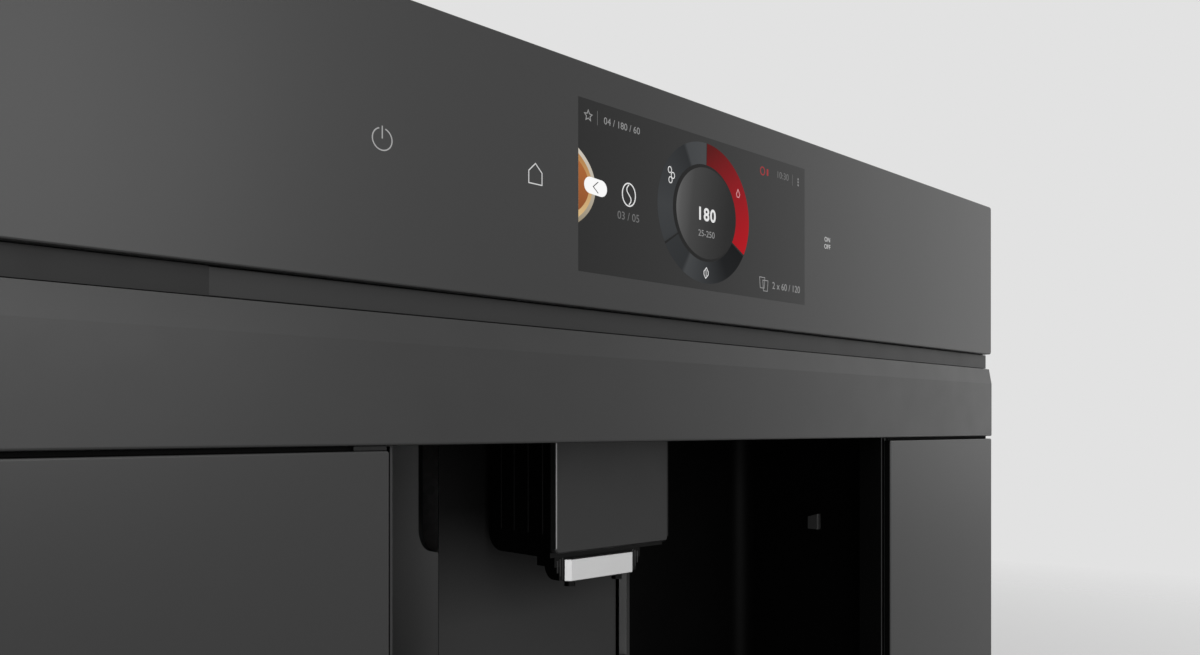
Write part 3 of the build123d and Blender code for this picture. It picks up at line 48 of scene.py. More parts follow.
def box_mm(node):
    """The lowest and highest corner of a node of the frame, in millimetres."""
    low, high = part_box(node)
    return low / MM, high / MM


# ---- Camera: solved from the converging edges of the front ----------------------------------
PHOTO_WIDTH = 1200
PHOTO_HEIGHT = 655
FOCAL_PIXELS = 949.0
HORIZON_ROW = 426.2
SENSOR = 36.0
EYE = Vector((-334.3, -470.6, 307.7))
HEADING = 43.5
NEAREST_SEEN = 10.0


def make_camera():
    data = bpy.data.cameras.new("photo_camera")
    data.sensor_width = SENSOR
    data.lens = SENSOR * FOCAL_PIXELS / PHOTO_WIDTH
    data.shift_y = (HORIZON_ROW - PHOTO_HEIGHT / 2) / PHOTO_WIDTH
    data.clip_start = NEAREST_SEEN * MM
    camera = bpy.data.objects.new("photo_camera", data)
    camera.location = EYE * MM
    camera.rotation_euler = (math.radians(90), 0, -math.radians(HEADING))
    bpy.context.scene.collection.objects.link(camera)
    bpy.context.scene.camera = camera


make_camera()
bpy.context.scene.view_settings.view_transform = "Standard"


# ---- Node helpers ---------------------------------------------------------------------------
# Noise mostly stays between these values, so what is spread over them is seen in full.
NOISE_SPAN = (0.25, 0.75)
TONE_SPAN = (0.3, 0.7)


def linear(level):
    """A screen level of 0 to 255 as linear light, by the sRGB curve."""
    share = level / 255
    return share / 12.92 if share <= 0.04045 else ((share + 0.055) / 1.055) ** 2.4


def colour(red, green, blue):
    return (linear(red), linear(green), linear(blue), 1.0)


def grey(level):
    return colour(level, level, level)


def wire(tree, node, inputs):
    """Gives each named or numbered input a value, or a link from another node's output."""
    for socket, value in inputs.items():
        if isinstance(value, bpy.types.NodeSocket):
            tree.links.new(value, node.inputs[socket])
        else:
            node.inputs[socket].default_value = value


def add_node(tree, kind, inputs, operation=None):
    """Adds a shader node and gives back its outputs."""
    node = tree.nodes.new("ShaderNode" + kind)
    if operation:
        node.operation = operation
    wire(tree, node, inputs)
    return node.outputs


class Shader:
    """One principled material and the few texture nodes that feed it."""

    def __init__(self, name, base, roughness, metallic=0.0, specular=0.5):
        self.material = bpy.data.materials.new(name)
        self.material.use_nodes = True
        self.tree = self.material.node_tree
        self.surface = self.tree.nodes["Principled BSDF"]
        self.base = base
        self.roughness = roughness
        self.feed("Base Color", base).feed("Roughness", roughness)
        self.feed("Metallic", metallic).feed("Specular IOR Level", specular)
        self.place = self.node("TexCoord", {})["Object"]

    def node(self, kind, inputs, operation=None):
        return add_node(self.tree, kind, inputs, operation)

    def feed(self, socket, value):
        """Gives one input of the surface a value, or a link from another node's output."""
        wire(self.tree, self.surface, {socket: value})
        return self

    def noise(self, scale, stretch=(1, 1, 1), detail=3.0):
        """Noise on the object's own coordinates; scale is in features per metre."""
        place = self.node("Mapping", {"Vector": self.place, "Scale": stretch})["Vector"]
        return self.node("TexNoise", {"Vector": place, "Scale": scale, "Detail": detail})["Fac"]

    def cells(self, scale):
        return self.node("TexVoronoi", {"Vector": self.place, "Scale": scale})["Color"]

    def counted_from(self, point):
        """The object's own coordinates, counted from an (x, z) place on the front."""
        origin = Vector((point[0], 0, point[1])) * MM
        return self.node("VectorMath", {0: self.place, 1: origin}, "SUBTRACT")["Vector"]

    def span(self, value, low, high, near, far):
        """A value of near to far spread over low to high."""
        inputs = {"Value": value, "From Min": near, "From Max": far, "To Min": low, "To Max": high}
        return self.node("MapRange", inputs)["Result"]

    def ramp(self, value, *stops):
        """A colour ramp; each stop is a place from 0 to 1 and a colour."""
        node = self.tree.nodes.new("ShaderNodeValToRGB")
        elements = node.color_ramp.elements
        while len(elements) < len(stops):
            elements.new(1.0)
        for element, (where, shade) in zip(elements, stops):
            element.position = where
            element.color = shade
        wire(self.tree, node, {"Fac": value})
        return node.outputs["Color"]

    def vary_colour(self, value, amount):
        """The base colour, darker and lighter by a share of itself."""
        dark = tuple(part * (1 - amount) for part in self.base[:3]) + (1.0,)
        light = tuple(min(1.0, part * (1 + amount)) for part in self.base[:3]) + (1.0,)
        return self.feed("Base Color", self.ramp(value, (TONE_SPAN[0], dark), (TONE_SPAN[1], light)))

    def vary_roughness(self, value, amount):
        low, high = self.roughness - amount, self.roughness + amount
        return self.feed("Roughness", self.span(value, low, high, *NOISE_SPAN))

    def bump(self, value, depth):
        """Relief of a real depth in millimetres."""
        return self.feed("Normal", self.node("Bump", {"Distance": depth * MM, "Height": value})["Normal"])

    def wander(self, sheen=None, tone=None, relief=None):
        """Lets sheen, tone and relief wander; each is features per metre, and how much or how deep."""
        if sheen:
            self.vary_roughness(self.noise(sheen[0]), sheen[1])
        if tone:
            self.vary_colour(self.noise(tone[0]), tone[1])
        if relief:
            self.bump(self.noise(relief[0]), relief[1])
        return self


# ---- Finishes -------------------------------------------------------------------------------
SATIN = 0.36
SPRAY_SHEEN = (60, 0.03)
SPRAY_PEEL = (900, 0.002)


def satin_glass(name, level):
    """Etched black glass: no grain, only faint wiping marks in its sheen."""
    shader = Shader(name, grey(level), SATIN)
    wiping = shader.noise(9, stretch=(1, 1, 0.25))
    return shader.vary_roughness(wiping, 0.025).wander(tone=(3, 0.04)).material


def lacquer(name, level, roughness, specular=0.5):
    """Satin lacquer on metal, with the slight orange peel of a sprayed film."""
    shader = Shader(name, grey(level), roughness, specular=specular)
    return shader.wander(sheen=SPRAY_SHEEN, tone=(25, 0.05), relief=SPRAY_PEEL).material


def shaded_lacquer(name, level, upper, heights, specular=0.1):
    """Satin lacquer that turns from one grey at the lower height to another at the upper one; the change is
    painted light and shade, not a change in the paint.
    """
    shader = Shader(name, grey(level), 0.6, specular=specular)
    height = shader.node("SeparateXYZ", {"Vector": shader.place})["Z"]
    share = shader.span(height, 0.0, 1.0, heights[0] * MM, heights[1] * MM)
    shader.feed("Base Color", shader.ramp(share, (0.0, grey(level)), (1.0, grey(upper))))
    return shader.wander(sheen=SPRAY_SHEEN, relief=SPRAY_PEEL).material


def moulded(name, base, roughness, specular=0.4, depth=0.012):
    """Moulded plastic with a spark-eroded grain."""
    shader = Shader(name, base, roughness, specular=specular)
    grain = shader.noise(1400, detail=2.0)
    return shader.wander(sheen=(120, 0.05), tone=(40, 0.06)).bump(grain, depth).material


def gloss(name, base, roughness, specular=0.5):
    """Polished plastic with fine moulding ripple."""
    shader = Shader(name, base, roughness, specular=specular)
    return shader.wander(sheen=(30, 0.03), tone=(15, 0.05), relief=(70, 0.01)).material


def brushed(name, level, roughness):
    """Metal with long brush lines from left to right."""
    shader = Shader(name, grey(level), roughness, metallic=1.0)
    lines = shader.noise(2400, stretch=(0.02, 1, 1), detail=1.0)
    return shader.vary_roughness(lines, 0.02).wander(tone=(30, 0.02)).material


def galvanised(name):
    """Zinc-coated sheet: fine soft crystals, cloudy sheen."""
    shader = Shader(name, grey(178), 0.5, metallic=0.8)
    crystals = shader.ramp(shader.cells(210), (0.1, grey(172)), (0.5, grey(181)), (0.95, grey(190)))
    return shader.feed("Base Color", crystals).wander(sheen=(14, 0.1), relief=(300, 0.01)).material


def plated(name, level, roughness):
    """Turned or pressed steel with a thin plated film."""
    shader = Shader(name, grey(level), roughness, metallic=1.0)
    return shader.wander(sheen=(220, 0.07), tone=(220, 0.08), relief=(1500, 0.004)).material


def clear(name, base, roughness, amount=0.92, ior=1.49):
    """Clear or tinted plastic; amount is how much of the light goes through."""
    shader = Shader(name, base, roughness).feed("Transmission Weight", amount).feed("IOR", ior)
    return shader.wander(sheen=(20, roughness / 2), relief=(35, 0.02)).material


def rubber(name, level, specular=0.3):
    """Rubber or foam: dull, finely grained, a little cloudy."""
    shader = Shader(name, grey(level), 0.75, specular=specular)
    return shader.wander(tone=(90, 0.15), relief=(1800, 0.02)).material


def cast_aluminium(name):
    """Rough grey castings."""
    shader = Shader(name, grey(190), 0.48, metallic=1.0)
    skin = shader.noise(500, detail=5.0)
    return shader.wander(tone=(60, 0.08)).vary_roughness(skin, 0.1).bump(skin, 0.05).material


def circuit(name):
    """Green solder mask with tracks that show as a faint pattern."""
    shader = Shader(name, colour(22, 92, 52), 0.35)
    tracks = shader.cells(260)
    shade = shader.ramp(tracks, (0.2, colour(16, 74, 42)), (0.6, colour(26, 104, 60)))
    return shader.feed("Base Color", shade).bump(tracks, 0.03).material


# The finish of each slot: what makes it, then its grey or colour, roughness and any further values.
FINISHES = {
    "panel_glass": (satin_glass, 28),
    "door_glass": (satin_glass, 24),
    "bar_paint": (lacquer, 26, 0.38),
    "strip_paint": (lacquer, 32, 0.45, 0.3),
    "frame_paint": (lacquer, 50, 0.5),
    # The column's front: painted shade, darker towards the top where the bar and the outlet shade it.
    "column_paint": (shaded_lacquer, 56, 8, (206, 266)),
    "cover_paint": (lacquer, 34, 0.4, 0.35),
    "zinc_sheet": (galvanised,),
    "hinge_steel": (plated, 120, 0.4),
    "rod_steel": (plated, 205, 0.16),
    "trim_steel": (brushed, 212, 0.36),
    "motor_steel": (plated, 160, 0.4),
    "heater_aluminium": (cast_aluminium,),
    "valve_brass": (plated, 190, 0.3),
    "plastic_black": (moulded, grey(34), 0.5),
    "door_plastic": (moulded, grey(40), 0.55, 0.3),
    "plastic_grey": (moulded, grey(118), 0.5),
    "magnet_plastic": (moulded, grey(52), 0.5),
    "clip_grey": (moulded, grey(56), 0.5, 0.3, 0.004),
    "grate_black": (lacquer, 30, 0.34),
    "display_black": (gloss, grey(18), 0.2),
    "niche_black": (gloss, grey(8), 0.45, 0.08),
    "niche_gloss": (gloss, grey(6), 0.42, 0.04),
    "outlet_gloss": (gloss, grey(5), 0.32, 0.1),
    "tank_clear": (clear, (0.86, 0.9, 0.92, 1.0), 0.08),
    "tank_clear_dark": (clear, (0.12, 0.13, 0.14, 1.0), 0.12, 0.6),
    "hopper_smoke": (clear, (0.3, 0.27, 0.24, 1.0), 0.1, 0.85),
    "piston_white": (moulded, grey(222), 0.42),
    "lever_red": (moulded, colour(176, 30, 26), 0.4),
    "float_red": (moulded, colour(186, 34, 28), 0.4),
    "pump_body": (moulded, grey(226), 0.45),
    "board_green": (circuit,),
    "hose_silicone": (clear, (0.86, 0.86, 0.83, 1.0), 0.4, 0.45, 1.42),
    "rubber_black": (rubber, 30),
    "seal_foam": (rubber, 5, 0.08),
}
MATERIALS = {name: make(name, *values) for name, (make, *values) in FINISHES.items()}
SCREW_STEEL = plated("screw_steel", 170, 0.34)
MARK_WHITE = moulded("mark_white", grey(205), 0.5, depth=0.002)

SLOT_OF = {row["node"]: row["material_slot"] for row in frame["record"]["subparts"]}


def finish_nodes():
    """Every node of the frame takes the finish of its slot."""
    for name, obj in frame["nodes"].items():
        obj.data.materials.clear()
        obj.data.materials.append(MATERIALS[SLOT_OF[name]])
        for face in obj.data.polygons:
            face.material_index = 0


def finish_faces(name, material, chosen):
    """The faces of a node whose normals are chosen take a second finish."""
    mesh = frame["nodes"][name].data
    mesh.materials.append(material)
    for face in mesh.polygons:
        if chosen(face.normal):
            face.material_index = 1


def sideways(normal):
    return abs(normal.x) > 0.7


def not_forward(normal):
    return normal.y > -0.3


def finish_column_sides():
    """The column's flanks take a lighter grey than its front, lighter still towards the top: painted light
    over the shade inside the niche; only its front edges carry the dark paint.
    """
    # Painted light: a paler grey on the flanks, paler still towards the top.
    flank = shaded_lacquer("column_flank_painted_light", 134, 178, (190, 300), specular=0.2)
    finish_faces("column_walls", flank, sideways)


def finish_dark_edges():
    """The door panels' edges and the upright flanks of the carrier behind them are blackened."""
    edge = gloss("panel_edge", grey(4), 0.6, 0.05)
    finish_faces("door_panel_left", edge, not_forward)
    finish_faces("door_panel_right", edge, not_forward)
    finish_faces("door_frame", edge, lambda normal: not_forward(normal) and sideways(normal))


SOFT_EDGES = {
    "door_bar": 0.5,
    "groove_strip": 0.3,
    "outlet_cover": 0.6,
    "outlet_trim": 0.5,
    "column_front_plate": 0.4,
    "outlet_housing": 0.3,
}
SOFT_EDGE_STEPS = 3
SOFT_EDGE_ANGLE = 50
WELD_GAP = 0.01


def soften_edges():
    """A small radius on the sharp edges of pressed and moulded pieces, so that they catch the light."""
    for name, width in SOFT_EDGES.items():
        obj = frame["nodes"][name]
        weld = obj.modifiers.new("weld", "WELD")
        weld.merge_threshold = WELD_GAP * MM
        bevel = obj.modifiers.new("soft_edges", "BEVEL")
        bevel.width = width * MM
        bevel.segments = SOFT_EDGE_STEPS
        bevel.limit_method = "ANGLE"
        bevel.angle_limit = math.radians(SOFT_EDGE_ANGLE)
        bevel.use_clamp_overlap = True


finish_nodes()
finish_column_sides()
finish_dark_edges()
soften_edges()


# ---- Mesh helpers ---------------------------------------------------------------------------
SMOOTH_ANGLE = 35
MERGE_GAP = 1e-4
MITRE_LIMIT = 0.3


def piece(name, bm, body, slot, material=None):
    """Makes an object of a mesh in millimetres that rides on a body."""
    bmesh.ops.remove_doubles(bm, verts=bm.verts, dist=MERGE_GAP)
    bmesh.ops.recalc_face_normals(bm, faces=bm.faces)
    bmesh.ops.scale(bm, vec=(MM, MM, MM), verts=bm.verts)
    mesh = bpy.data.meshes.new(name)
    bm.to_mesh(mesh)
    bm.free()
    mesh.shade_smooth()
    mesh.set_sharp_from_angle(angle=math.radians(SMOOTH_ANGLE))
    mesh.materials.append(material or MATERIALS[slot])
    obj = bpy.data.objects.new(name, mesh)
    bpy.context.scene.collection.objects.link(obj)
    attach(obj, body)


def prism(bm, outline, front, back):
    """A flat shape of (x, z) points, closed between two places in y."""
    near = [bm.verts.new((x, front, z)) for x, z in outline]
    far = [bm.verts.new((x, back, z)) for x, z in outline]
    bm.faces.new(near)
    bm.faces.new(list(reversed(far)))
    count = len(outline)
    for at in range(count):
        after = (at + 1) % count
        bm.faces.new((near[at], far[at], far[after], near[after]))


def arc(centre, radius, start, end, steps):
    """Points along an arc, in degrees from the +x direction; radius may be one value or two."""
    rx, rz = radius if isinstance(radius, tuple) else (radius, radius)
    points = []
    for step in range(steps + 1):
        angle = math.radians(start + (end - start) * step / steps)
        points.append((centre[0] + rx * math.cos(angle), centre[1] + rz * math.sin(angle)))
    return points


def ellipse(centre, radius, steps):
    """Points all the way round, each one once."""
    return arc(centre, radius, 0, 360, steps)[:-1]


def strip(bm, one_side, other_side, front, back):
    """A closed band between two rows of points."""
    rows = []
    for y in (front, back):
        for side in (one_side, other_side):
            rows.append([bm.verts.new((x, y, z)) for x, z in side])
    near_a, near_b, far_a, far_b = rows
    last = len(one_side) - 1
    for at in range(last):
        bm.faces.new((near_a[at], near_a[at + 1], near_b[at + 1], near_b[at]))
        bm.faces.new((far_a[at], far_b[at], far_b[at + 1], far_a[at + 1]))
        bm.faces.new((near_a[at], far_a[at], far_a[at + 1], near_a[at + 1]))
        bm.faces.new((near_b[at], near_b[at + 1], far_b[at + 1], far_b[at]))
    for at in (0, last):
        bm.faces.new((near_a[at], near_b[at], far_b[at], far_a[at]))


def stroke(bm, points, width, front, back, closed):
    """A line of even width along (x, z) points, with mitred corners."""
    count = len(points)
    left, right = [], []
    for at in range(count):
        before = points[at - 1] if at or closed else points[at]
        after = points[(at + 1) % count] if at < count - 1 or closed else points[at]
        here = Vector(points[at])
        steps = [here - Vector(before), Vector(after) - here]
        steps = [step.normalized() for step in steps if step.length]
        along = sum(steps, Vector((0, 0))).normalized()
        across = Vector((-along.y, along.x))
        reach = width / 2 / max(MITRE_LIMIT, along.dot(steps[0]))
        left.append(tuple(here + across * reach))
        right.append(tuple(here - across * reach))
    if closed:
        left.append(left[0])
        right.append(right[0])
    strip(bm, left, right, front, back)


# ---- The touch panel: how its lit and printed areas are made ---------------------------------
GLASS_LOW = box_mm("control_panel_glass")[0]
LAYER = 0.03
BURIED = GLASS_LOW.y + 0.01
LOW_SHEEN = 0.12
LOWER_SHEEN = 0.04
CAPITAL_SHARE = 0.7
LETTER_STEPS = 6


def layer(number):
    """The front of a printed or lit layer on the glass."""
    return GLASS_LOW.y - LAYER * number


def glowing(name, sheen=LOW_SHEEN):
    """The start of a lit area behind satin glass: its own light, with little sheen."""
    return Shader(name, grey(4), SATIN, specular=sheen).feed("Emission Strength", 1.0)


def lit(name, shade):
    """A lit area of one colour."""
    return glowing(name).feed("Emission Color", shade).wander(sheen=(9, 0.02)).material


def lit_gradient(name, stops, start, end, sheen=LOW_SHEEN):
    """A lit area whose colour runs from one (x, z) place on the glass to another."""
    shader = glowing(name, sheen)
    run = Vector((end[0] - start[0], 0, end[1] - start[1])) * MM
    inputs = {0: shader.counted_from(start), 1: run / run.length_squared}
    share = shader.node("VectorMath", inputs, "DOT_PRODUCT")["Value"]
    return shader.feed("Emission Color", shader.ramp(share, *stops)).material


def lit_sweep(name, centre, stops):
    """A lit area whose colour runs round a centre, anticlockwise from its left side."""
    shader = glowing(name, LOWER_SHEEN)
    offset = shader.node("SeparateXYZ", {"Vector": shader.counted_from(centre)})
    turn = shader.node("Math", {0: offset["Z"], 1: offset["X"]}, "ARCTAN2")["Value"]
    share = shader.span(turn, 0.0, 1.0, -math.pi, math.pi)
    return shader.feed("Emission Color", shader.ramp(share, *stops)).material


def lit_piece(name, bm, material):
    piece(name, bm, "root", "display_black", material)


def icon(name, points, material, level, width, closed=False):
    """One line of a symbol."""
    bm = bmesh.new()
    stroke(bm, points, width, layer(level), BURIED, closed)
    lit_piece(name, bm, material)


def outline_mesh(text, height, weight, spacing):
    """Letters of the plain built-in face as a flat mesh in millimetres, centred on the origin."""
    curve = bpy.data.curves.new("outline", "FONT")
    curve.body = text
    curve.align_x = "CENTER"
    curve.align_y = "CENTER"
    curve.size = height / CAPITAL_SHARE
    curve.offset = weight
    curve.space_character = spacing
    curve.resolution_u = LETTER_STEPS
    holder = bpy.data.objects.new("outline", curve)
    bpy.context.scene.collection.objects.link(holder)
    bpy.context.view_layer.update()
    flat = bpy.data.meshes.new_from_object(holder.evaluated_get(bpy.context.evaluated_depsgraph_get()))
    bm = bmesh.new()
    bm.from_mesh(flat)
    bpy.data.objects.remove(holder)
    bpy.data.curves.remove(curve)
    bpy.data.meshes.remove(flat)
    bmesh.ops.remove_doubles(bm, verts=bm.verts, dist=MERGE_GAP)
    return bm


def raised_text(name, text, centre, height, material, depth, body, slot, weight=0.0, spacing=1.0):
    """Numbers or switch marks that look forward, closed between two places in y."""
    front, back = depth
    bm = outline_mesh(text, height, weight, spacing)
    turn = Matrix.Translation((centre[0], front, centre[1])) @ Matrix.Rotation(math.radians(90), 4, "X")
    bmesh.ops.transform(bm, matrix=turn, verts=bm.verts)
    made = bmesh.ops.extrude_face_region(bm, geom=bm.faces[:])
    raised = [item for item in made["geom"] if isinstance(item, bmesh.types.BMVert)]
    bmesh.ops.translate(bm, vec=(0, back - front, 0), verts=raised)
    piece(name, bm, body, slot, material)


def digits(name, text, centre, height, material, level, **style):
    """Generic numbers or switch marks, lit or printed on the glass."""
    depth = (layer(level), BURIED)
    raised_text(name, text, centre, height, material, depth, "root", "display_black", **style)


# ---- The touch panel: the screen and its dial -------------------------------------------------
SCREEN_X = (-78.4, 79.0)
SCREEN_Z = (370.1, 440.2)
DIAL = (0.2, 405.3)
DIAL_OUTER = 32.2
DIAL_INNER = 22.2
RED_START = 88.0
RED_END = -29.0
SEGMENT_CUT = 212.0
SEGMENT_GAP = 0.9
RED_LIGHT = ((2, 434), (28, 392))
DISC = (1.1, 405.3)
DISC_RADIUS = 20.9
DISC_LIGHT = ((-19.8, 407), (22.0, 401))
ROUND_STEPS = 72
# The ring's grey at each angle from the +x direction; it has the slight blue of the screen.
RING_LEVELS = (
    (-180, 60),
    (-152, 56),
    (-146, 48),
    (-121, 44),
    (-117, 66),
    (-90, 50),
    (-60, 20),
    (-30, 10),
    (92, 70),
    (114, 66),
    (118, 42),
    (146, 52),
    (180, 60),
)
# The greys of the screen and of the dial's centre, each at a share of the way across.
SCREEN_LEVELS = ((0.0, 36), (0.5, 43), (1.0, 52))
DISC_LEVELS = ((0.0, 92), (0.07, 78), (0.25, 56), (0.55, 40), (0.85, 20), (1.0, 12))
RED_STOPS = ((0.0, colour(88, 12, 12)), (0.45, colour(136, 12, 22)), (1.0, colour(172, 4, 20)))


def grey_stops(levels):
    return [(place, grey(level)) for place, level in levels]


def display_screen():
    """The lit field, a little brighter to the right."""
    bm = bmesh.new()
    (left, right), (low, high) = SCREEN_X, SCREEN_Z
    prism(bm, [(left, low), (right, low), (right, high), (left, high)], layer(1), BURIED)
    light = lit_gradient("lit_screen", grey_stops(SCREEN_LEVELS), (left, low), (right, low))
    lit_piece("display_screen", bm, light)


def dial_sector(bm, start, end, steps=48):
    """A sector of the dial's ring, as quads so that it stays clean."""
    low = arc(DIAL, DIAL_INNER, start, end, steps)
    high = arc(DIAL, DIAL_OUTER, start, end, steps)
    strip(bm, low, high, layer(2), BURIED)


def display_dial():
    """The round selector: a grey ring with a red sector, over a shaded centre."""
    bm = bmesh.new()
    dial_sector(bm, RED_START + SEGMENT_GAP, SEGMENT_CUT - SEGMENT_GAP)
    dial_sector(bm, SEGMENT_CUT + SEGMENT_GAP, 360 + RED_END - 2 * SEGMENT_GAP)
    stops = [((angle + 180) / 360, colour(level - 2, level, level + 2)) for angle, level in RING_LEVELS]
    lit_piece("dial_ring", bm, lit_sweep("lit_ring", DIAL, stops))

    bm = bmesh.new()
    dial_sector(bm, RED_END, RED_START)
    lit_piece("dial_red_sector", bm, lit_gradient("lit_red_sector", RED_STOPS, *RED_LIGHT, LOWER_SHEEN))

    bm = bmesh.new()
    prism(bm, ellipse(DIAL, DIAL_INNER, ROUND_STEPS), layer(2), BURIED)
    for cut in (SEGMENT_CUT, RED_END - SEGMENT_GAP):
        dial_sector(bm, cut - SEGMENT_GAP, cut + SEGMENT_GAP, steps=2)
    lit_piece("dial_gap", bm, lit("lit_gap", grey(14)))

    bm = bmesh.new()
    prism(bm, ellipse(DISC, DISC_RADIUS, ROUND_STEPS), layer(3), BURIED)
    lit_piece("dial_centre", bm, lit_gradient("lit_centre", grey_stops(DISC_LEVELS), *DISC_LIGHT))


CUP = (-96.0, 404.5)
CUP_LIGHT = ((-72, 420), (-76, 390))
CUP_LAYER = 0.006
CUP_LAP = 0.4
# Each ring of the cup: its name, radii, and the colours of its upper and lower parts.
CUP_RINGS = (
    ("cup_rim", (27.0, 19.6), (205, 198, 186), (150, 138, 116)),
    ("cup_crema", (25.2, 17.8), (170, 112, 50), (214, 182, 130)),
    ("cup_coffee", (23.4, 15.2), (176, 104, 48), (132, 70, 30)),
)
BUBBLE_RIGHT = (-65.9, 405.2)
BUBBLE_LEFT = (-71.9, 405.6)
BUBBLE_RADIUS = 3.4


def display_cup():
    """A plain cup seen from above, cut off by the screen's left edge, under a round-ended button."""
    for number, (name, radii, upper, lower) in enumerate(CUP_RINGS):
        outline = [point for point in arc(CUP, radii, -90, 90, 60) if point[0] > SCREEN_X[0]]
        cut_low = (SCREEN_X[0], outline[0][1] - CUP_LAP)
        cut_high = (SCREEN_X[0], outline[-1][1] + CUP_LAP)
        bm = bmesh.new()
        prism(bm, [cut_low, *outline, cut_high], layer(2) - CUP_LAYER * number, BURIED)
        stops = ((0.0, colour(*upper)), (1.0, colour(*lower)))
        lit_piece(name, bm, lit_gradient("lit_" + name, stops, *CUP_LIGHT))
    bm = bmesh.new()
    bubble = arc(BUBBLE_RIGHT, BUBBLE_RADIUS, -90, 90, 20) + arc(BUBBLE_LEFT, BUBBLE_RADIUS, 90, 270, 20)
    prism(bm, bubble, layer(3), BURIED)
    lit_piece("back_bubble", bm, lit("lit_bubble", grey(247)))


LIT_WHITE = lit("lit_white", grey(226))
LIT_GREY = lit("lit_grey", grey(140))
LIT_DIM = lit("lit_dim", grey(105))
LIT_RED = lit("lit_red", colour(150, 40, 44))
LIT_PINK = lit("lit_pink", colour(214, 150, 154))
LIT_ARROW = lit("lit_arrow", grey(60))
PRINT_WHITE = lit("lit_symbol", grey(165))
PRINT_BRIGHT = lit("lit_symbol_bright", grey(205))

STAR = (-73.0, 433.6)
STAR_RADII = (2.2, 1.05)
BEAN = (-49.6, 405.4)
FOLD_SWING = 1.3
FOLD_REACH = 4.2
FOLD_STEPS = 12
SMALL_BEAN = (1.1, 1.35)
DROP = ((24.0, 420.3), (25.4, 418.0), (24.7, 416.6), (23.4, 416.6), (22.8, 418.0))
LEAF = ((0.9, 380.4), (-0.9, 378.6), (-0.9, 377.2), (0.3, 375.5), (2.1, 377.2), (2.1, 378.6))
HOUSE = ((-100.7, 408.9), (-104.0, 405.7), (-104.0, 401.0), (-97.4, 401.0), (-97.4, 405.7))


def star_outline():
    turns = [90 + 36 * corner for corner in range(10)]
    return [arc(STAR, STAR_RADII[at % 2], turn, turn, 1)[0] for at, turn in enumerate(turns)]


def bean_fold():
    """The wave down the middle of the bean."""
    shares = [step / FOLD_STEPS for step in range(FOLD_STEPS + 1)]
    wave = [BEAN[0] - FOLD_SWING * math.sin(math.tau * share) for share in shares]
    return [(x, BEAN[1] + FOLD_REACH * (1 - 2 * share)) for x, share in zip(wave, shares)]


# The symbols that close on themselves: name, corners, light, layer and width of line.
CLOSED_SYMBOLS = (
    ("icon_star", star_outline(), LIT_GREY, 2, 0.4),
    ("icon_bean", ellipse(BEAN, (3.9, 4.8), 40), LIT_WHITE, 2, 0.55),
    ("icon_beans_0", ellipse((-24.0, 420.8), SMALL_BEAN, 18), LIT_WHITE, 3, 0.4),
    ("icon_beans_1", ellipse((-22.0, 418.6), SMALL_BEAN, 18), LIT_WHITE, 3, 0.4),
    ("icon_beans_2", ellipse((-23.6, 416.4), SMALL_BEAN, 18), LIT_WHITE, 3, 0.4),
    ("icon_drop", DROP, LIT_PINK, 3, 0.4),
    ("icon_leaf", LEAF, LIT_WHITE, 3, 0.4),
    ("icon_red_ring", ellipse((43.3, 432.7), (1.7, 1.9), 20), LIT_RED, 2, 0.6),
    ("icon_menu_0", ellipse((73.2, 430.9), 0.38, 12), LIT_GREY, 2, 0.3),
    ("icon_menu_1", ellipse((73.2, 432.4), 0.38, 12), LIT_GREY, 2, 0.3),
    ("icon_menu_2", ellipse((73.2, 433.9), 0.38, 12), LIT_GREY, 2, 0.3),
    ("icon_cups_0", ((40.9, 380.6), (41.4, 375.4), (44.6, 375.4), (45.1, 380.6)), LIT_GREY, 2, 0.36),
    ("icon_cups_1", ((43.5, 379.3), (44.0, 374.1), (47.2, 374.1), (47.7, 379.3)), LIT_GREY, 2, 0.36),
    ("home_symbol", HOUSE, PRINT_BRIGHT, 1, 0.42),
)
# The open ones, with the same values.
OPEN_SYMBOLS = (
    ("icon_bean_fold", bean_fold(), LIT_WHITE, 2, 0.5),
    ("icon_leaf_vein", ((0.5, 379.4), (0.7, 376.6)), LIT_WHITE, 3, 0.35),
    ("icon_red_bar", ((47.3, 431.0), (47.3, 434.3)), LIT_RED, 2, 1.3),
    ("screen_divider_left", ((-67.9, 430.8), (-67.9, 436.6)), LIT_DIM, 2, 0.22),
    ("screen_divider_right", ((68.3, 429.9), (68.3, 435.4)), LIT_DIM, 2, 0.22),
    ("back_arrow", ((-67.5, 407.6), (-70.3, 405.3), (-67.5, 403.0)), LIT_ARROW, 4, 0.4),
    ("power_ring", arc((-167.5, 404.4), 3.75, 108, 432, 44), PRINT_WHITE, 1, 0.42),
    ("power_bar", ((-167.5, 404.6), (-167.5, 408.9)), PRINT_WHITE, 1, 0.42),
)
# The readings: name, text, centre, height, light and layer.
READINGS = (
    ("dial_range", "25-250", (0.9, 395.7), 2.9, LIT_GREY, 4),
    ("screen_title", "04 / 180 / 60", (-53.6, 433.4), 2.9, LIT_GREY, 2),
    ("screen_strength", "03 / 05", (-49.8, 395.9), 3.3, LIT_DIM, 2),
    ("screen_clock", "10:30", (59.9, 433.0), 3.3, LIT_DIM, 2),
    ("screen_amount", "2 x 60 / 120", (63.0, 377.3), 3.4, LIT_GREY, 2),
    ("start_mark", "ON", (99.9, 406.6), 2.4, PRINT_BRIGHT, 1),
    ("stop_mark", "OFF", (99.9, 402.8), 2.4, PRINT_BRIGHT, 1),
)


def display_symbols():
    """The lines and numbers on the screen, and those printed on the glass beside it."""
    for row in CLOSED_SYMBOLS:
        icon(*row, closed=True)
    for row in OPEN_SYMBOLS:
        icon(*row)
    digits("dial_number", "180", (0.9, 404.4), 5.7, LIT_WHITE, 4, weight=0.2, spacing=1.12)
    for row in READINGS:
        digits(*row)


display_screen()
display_dial()
display_cup()
display_symbols()


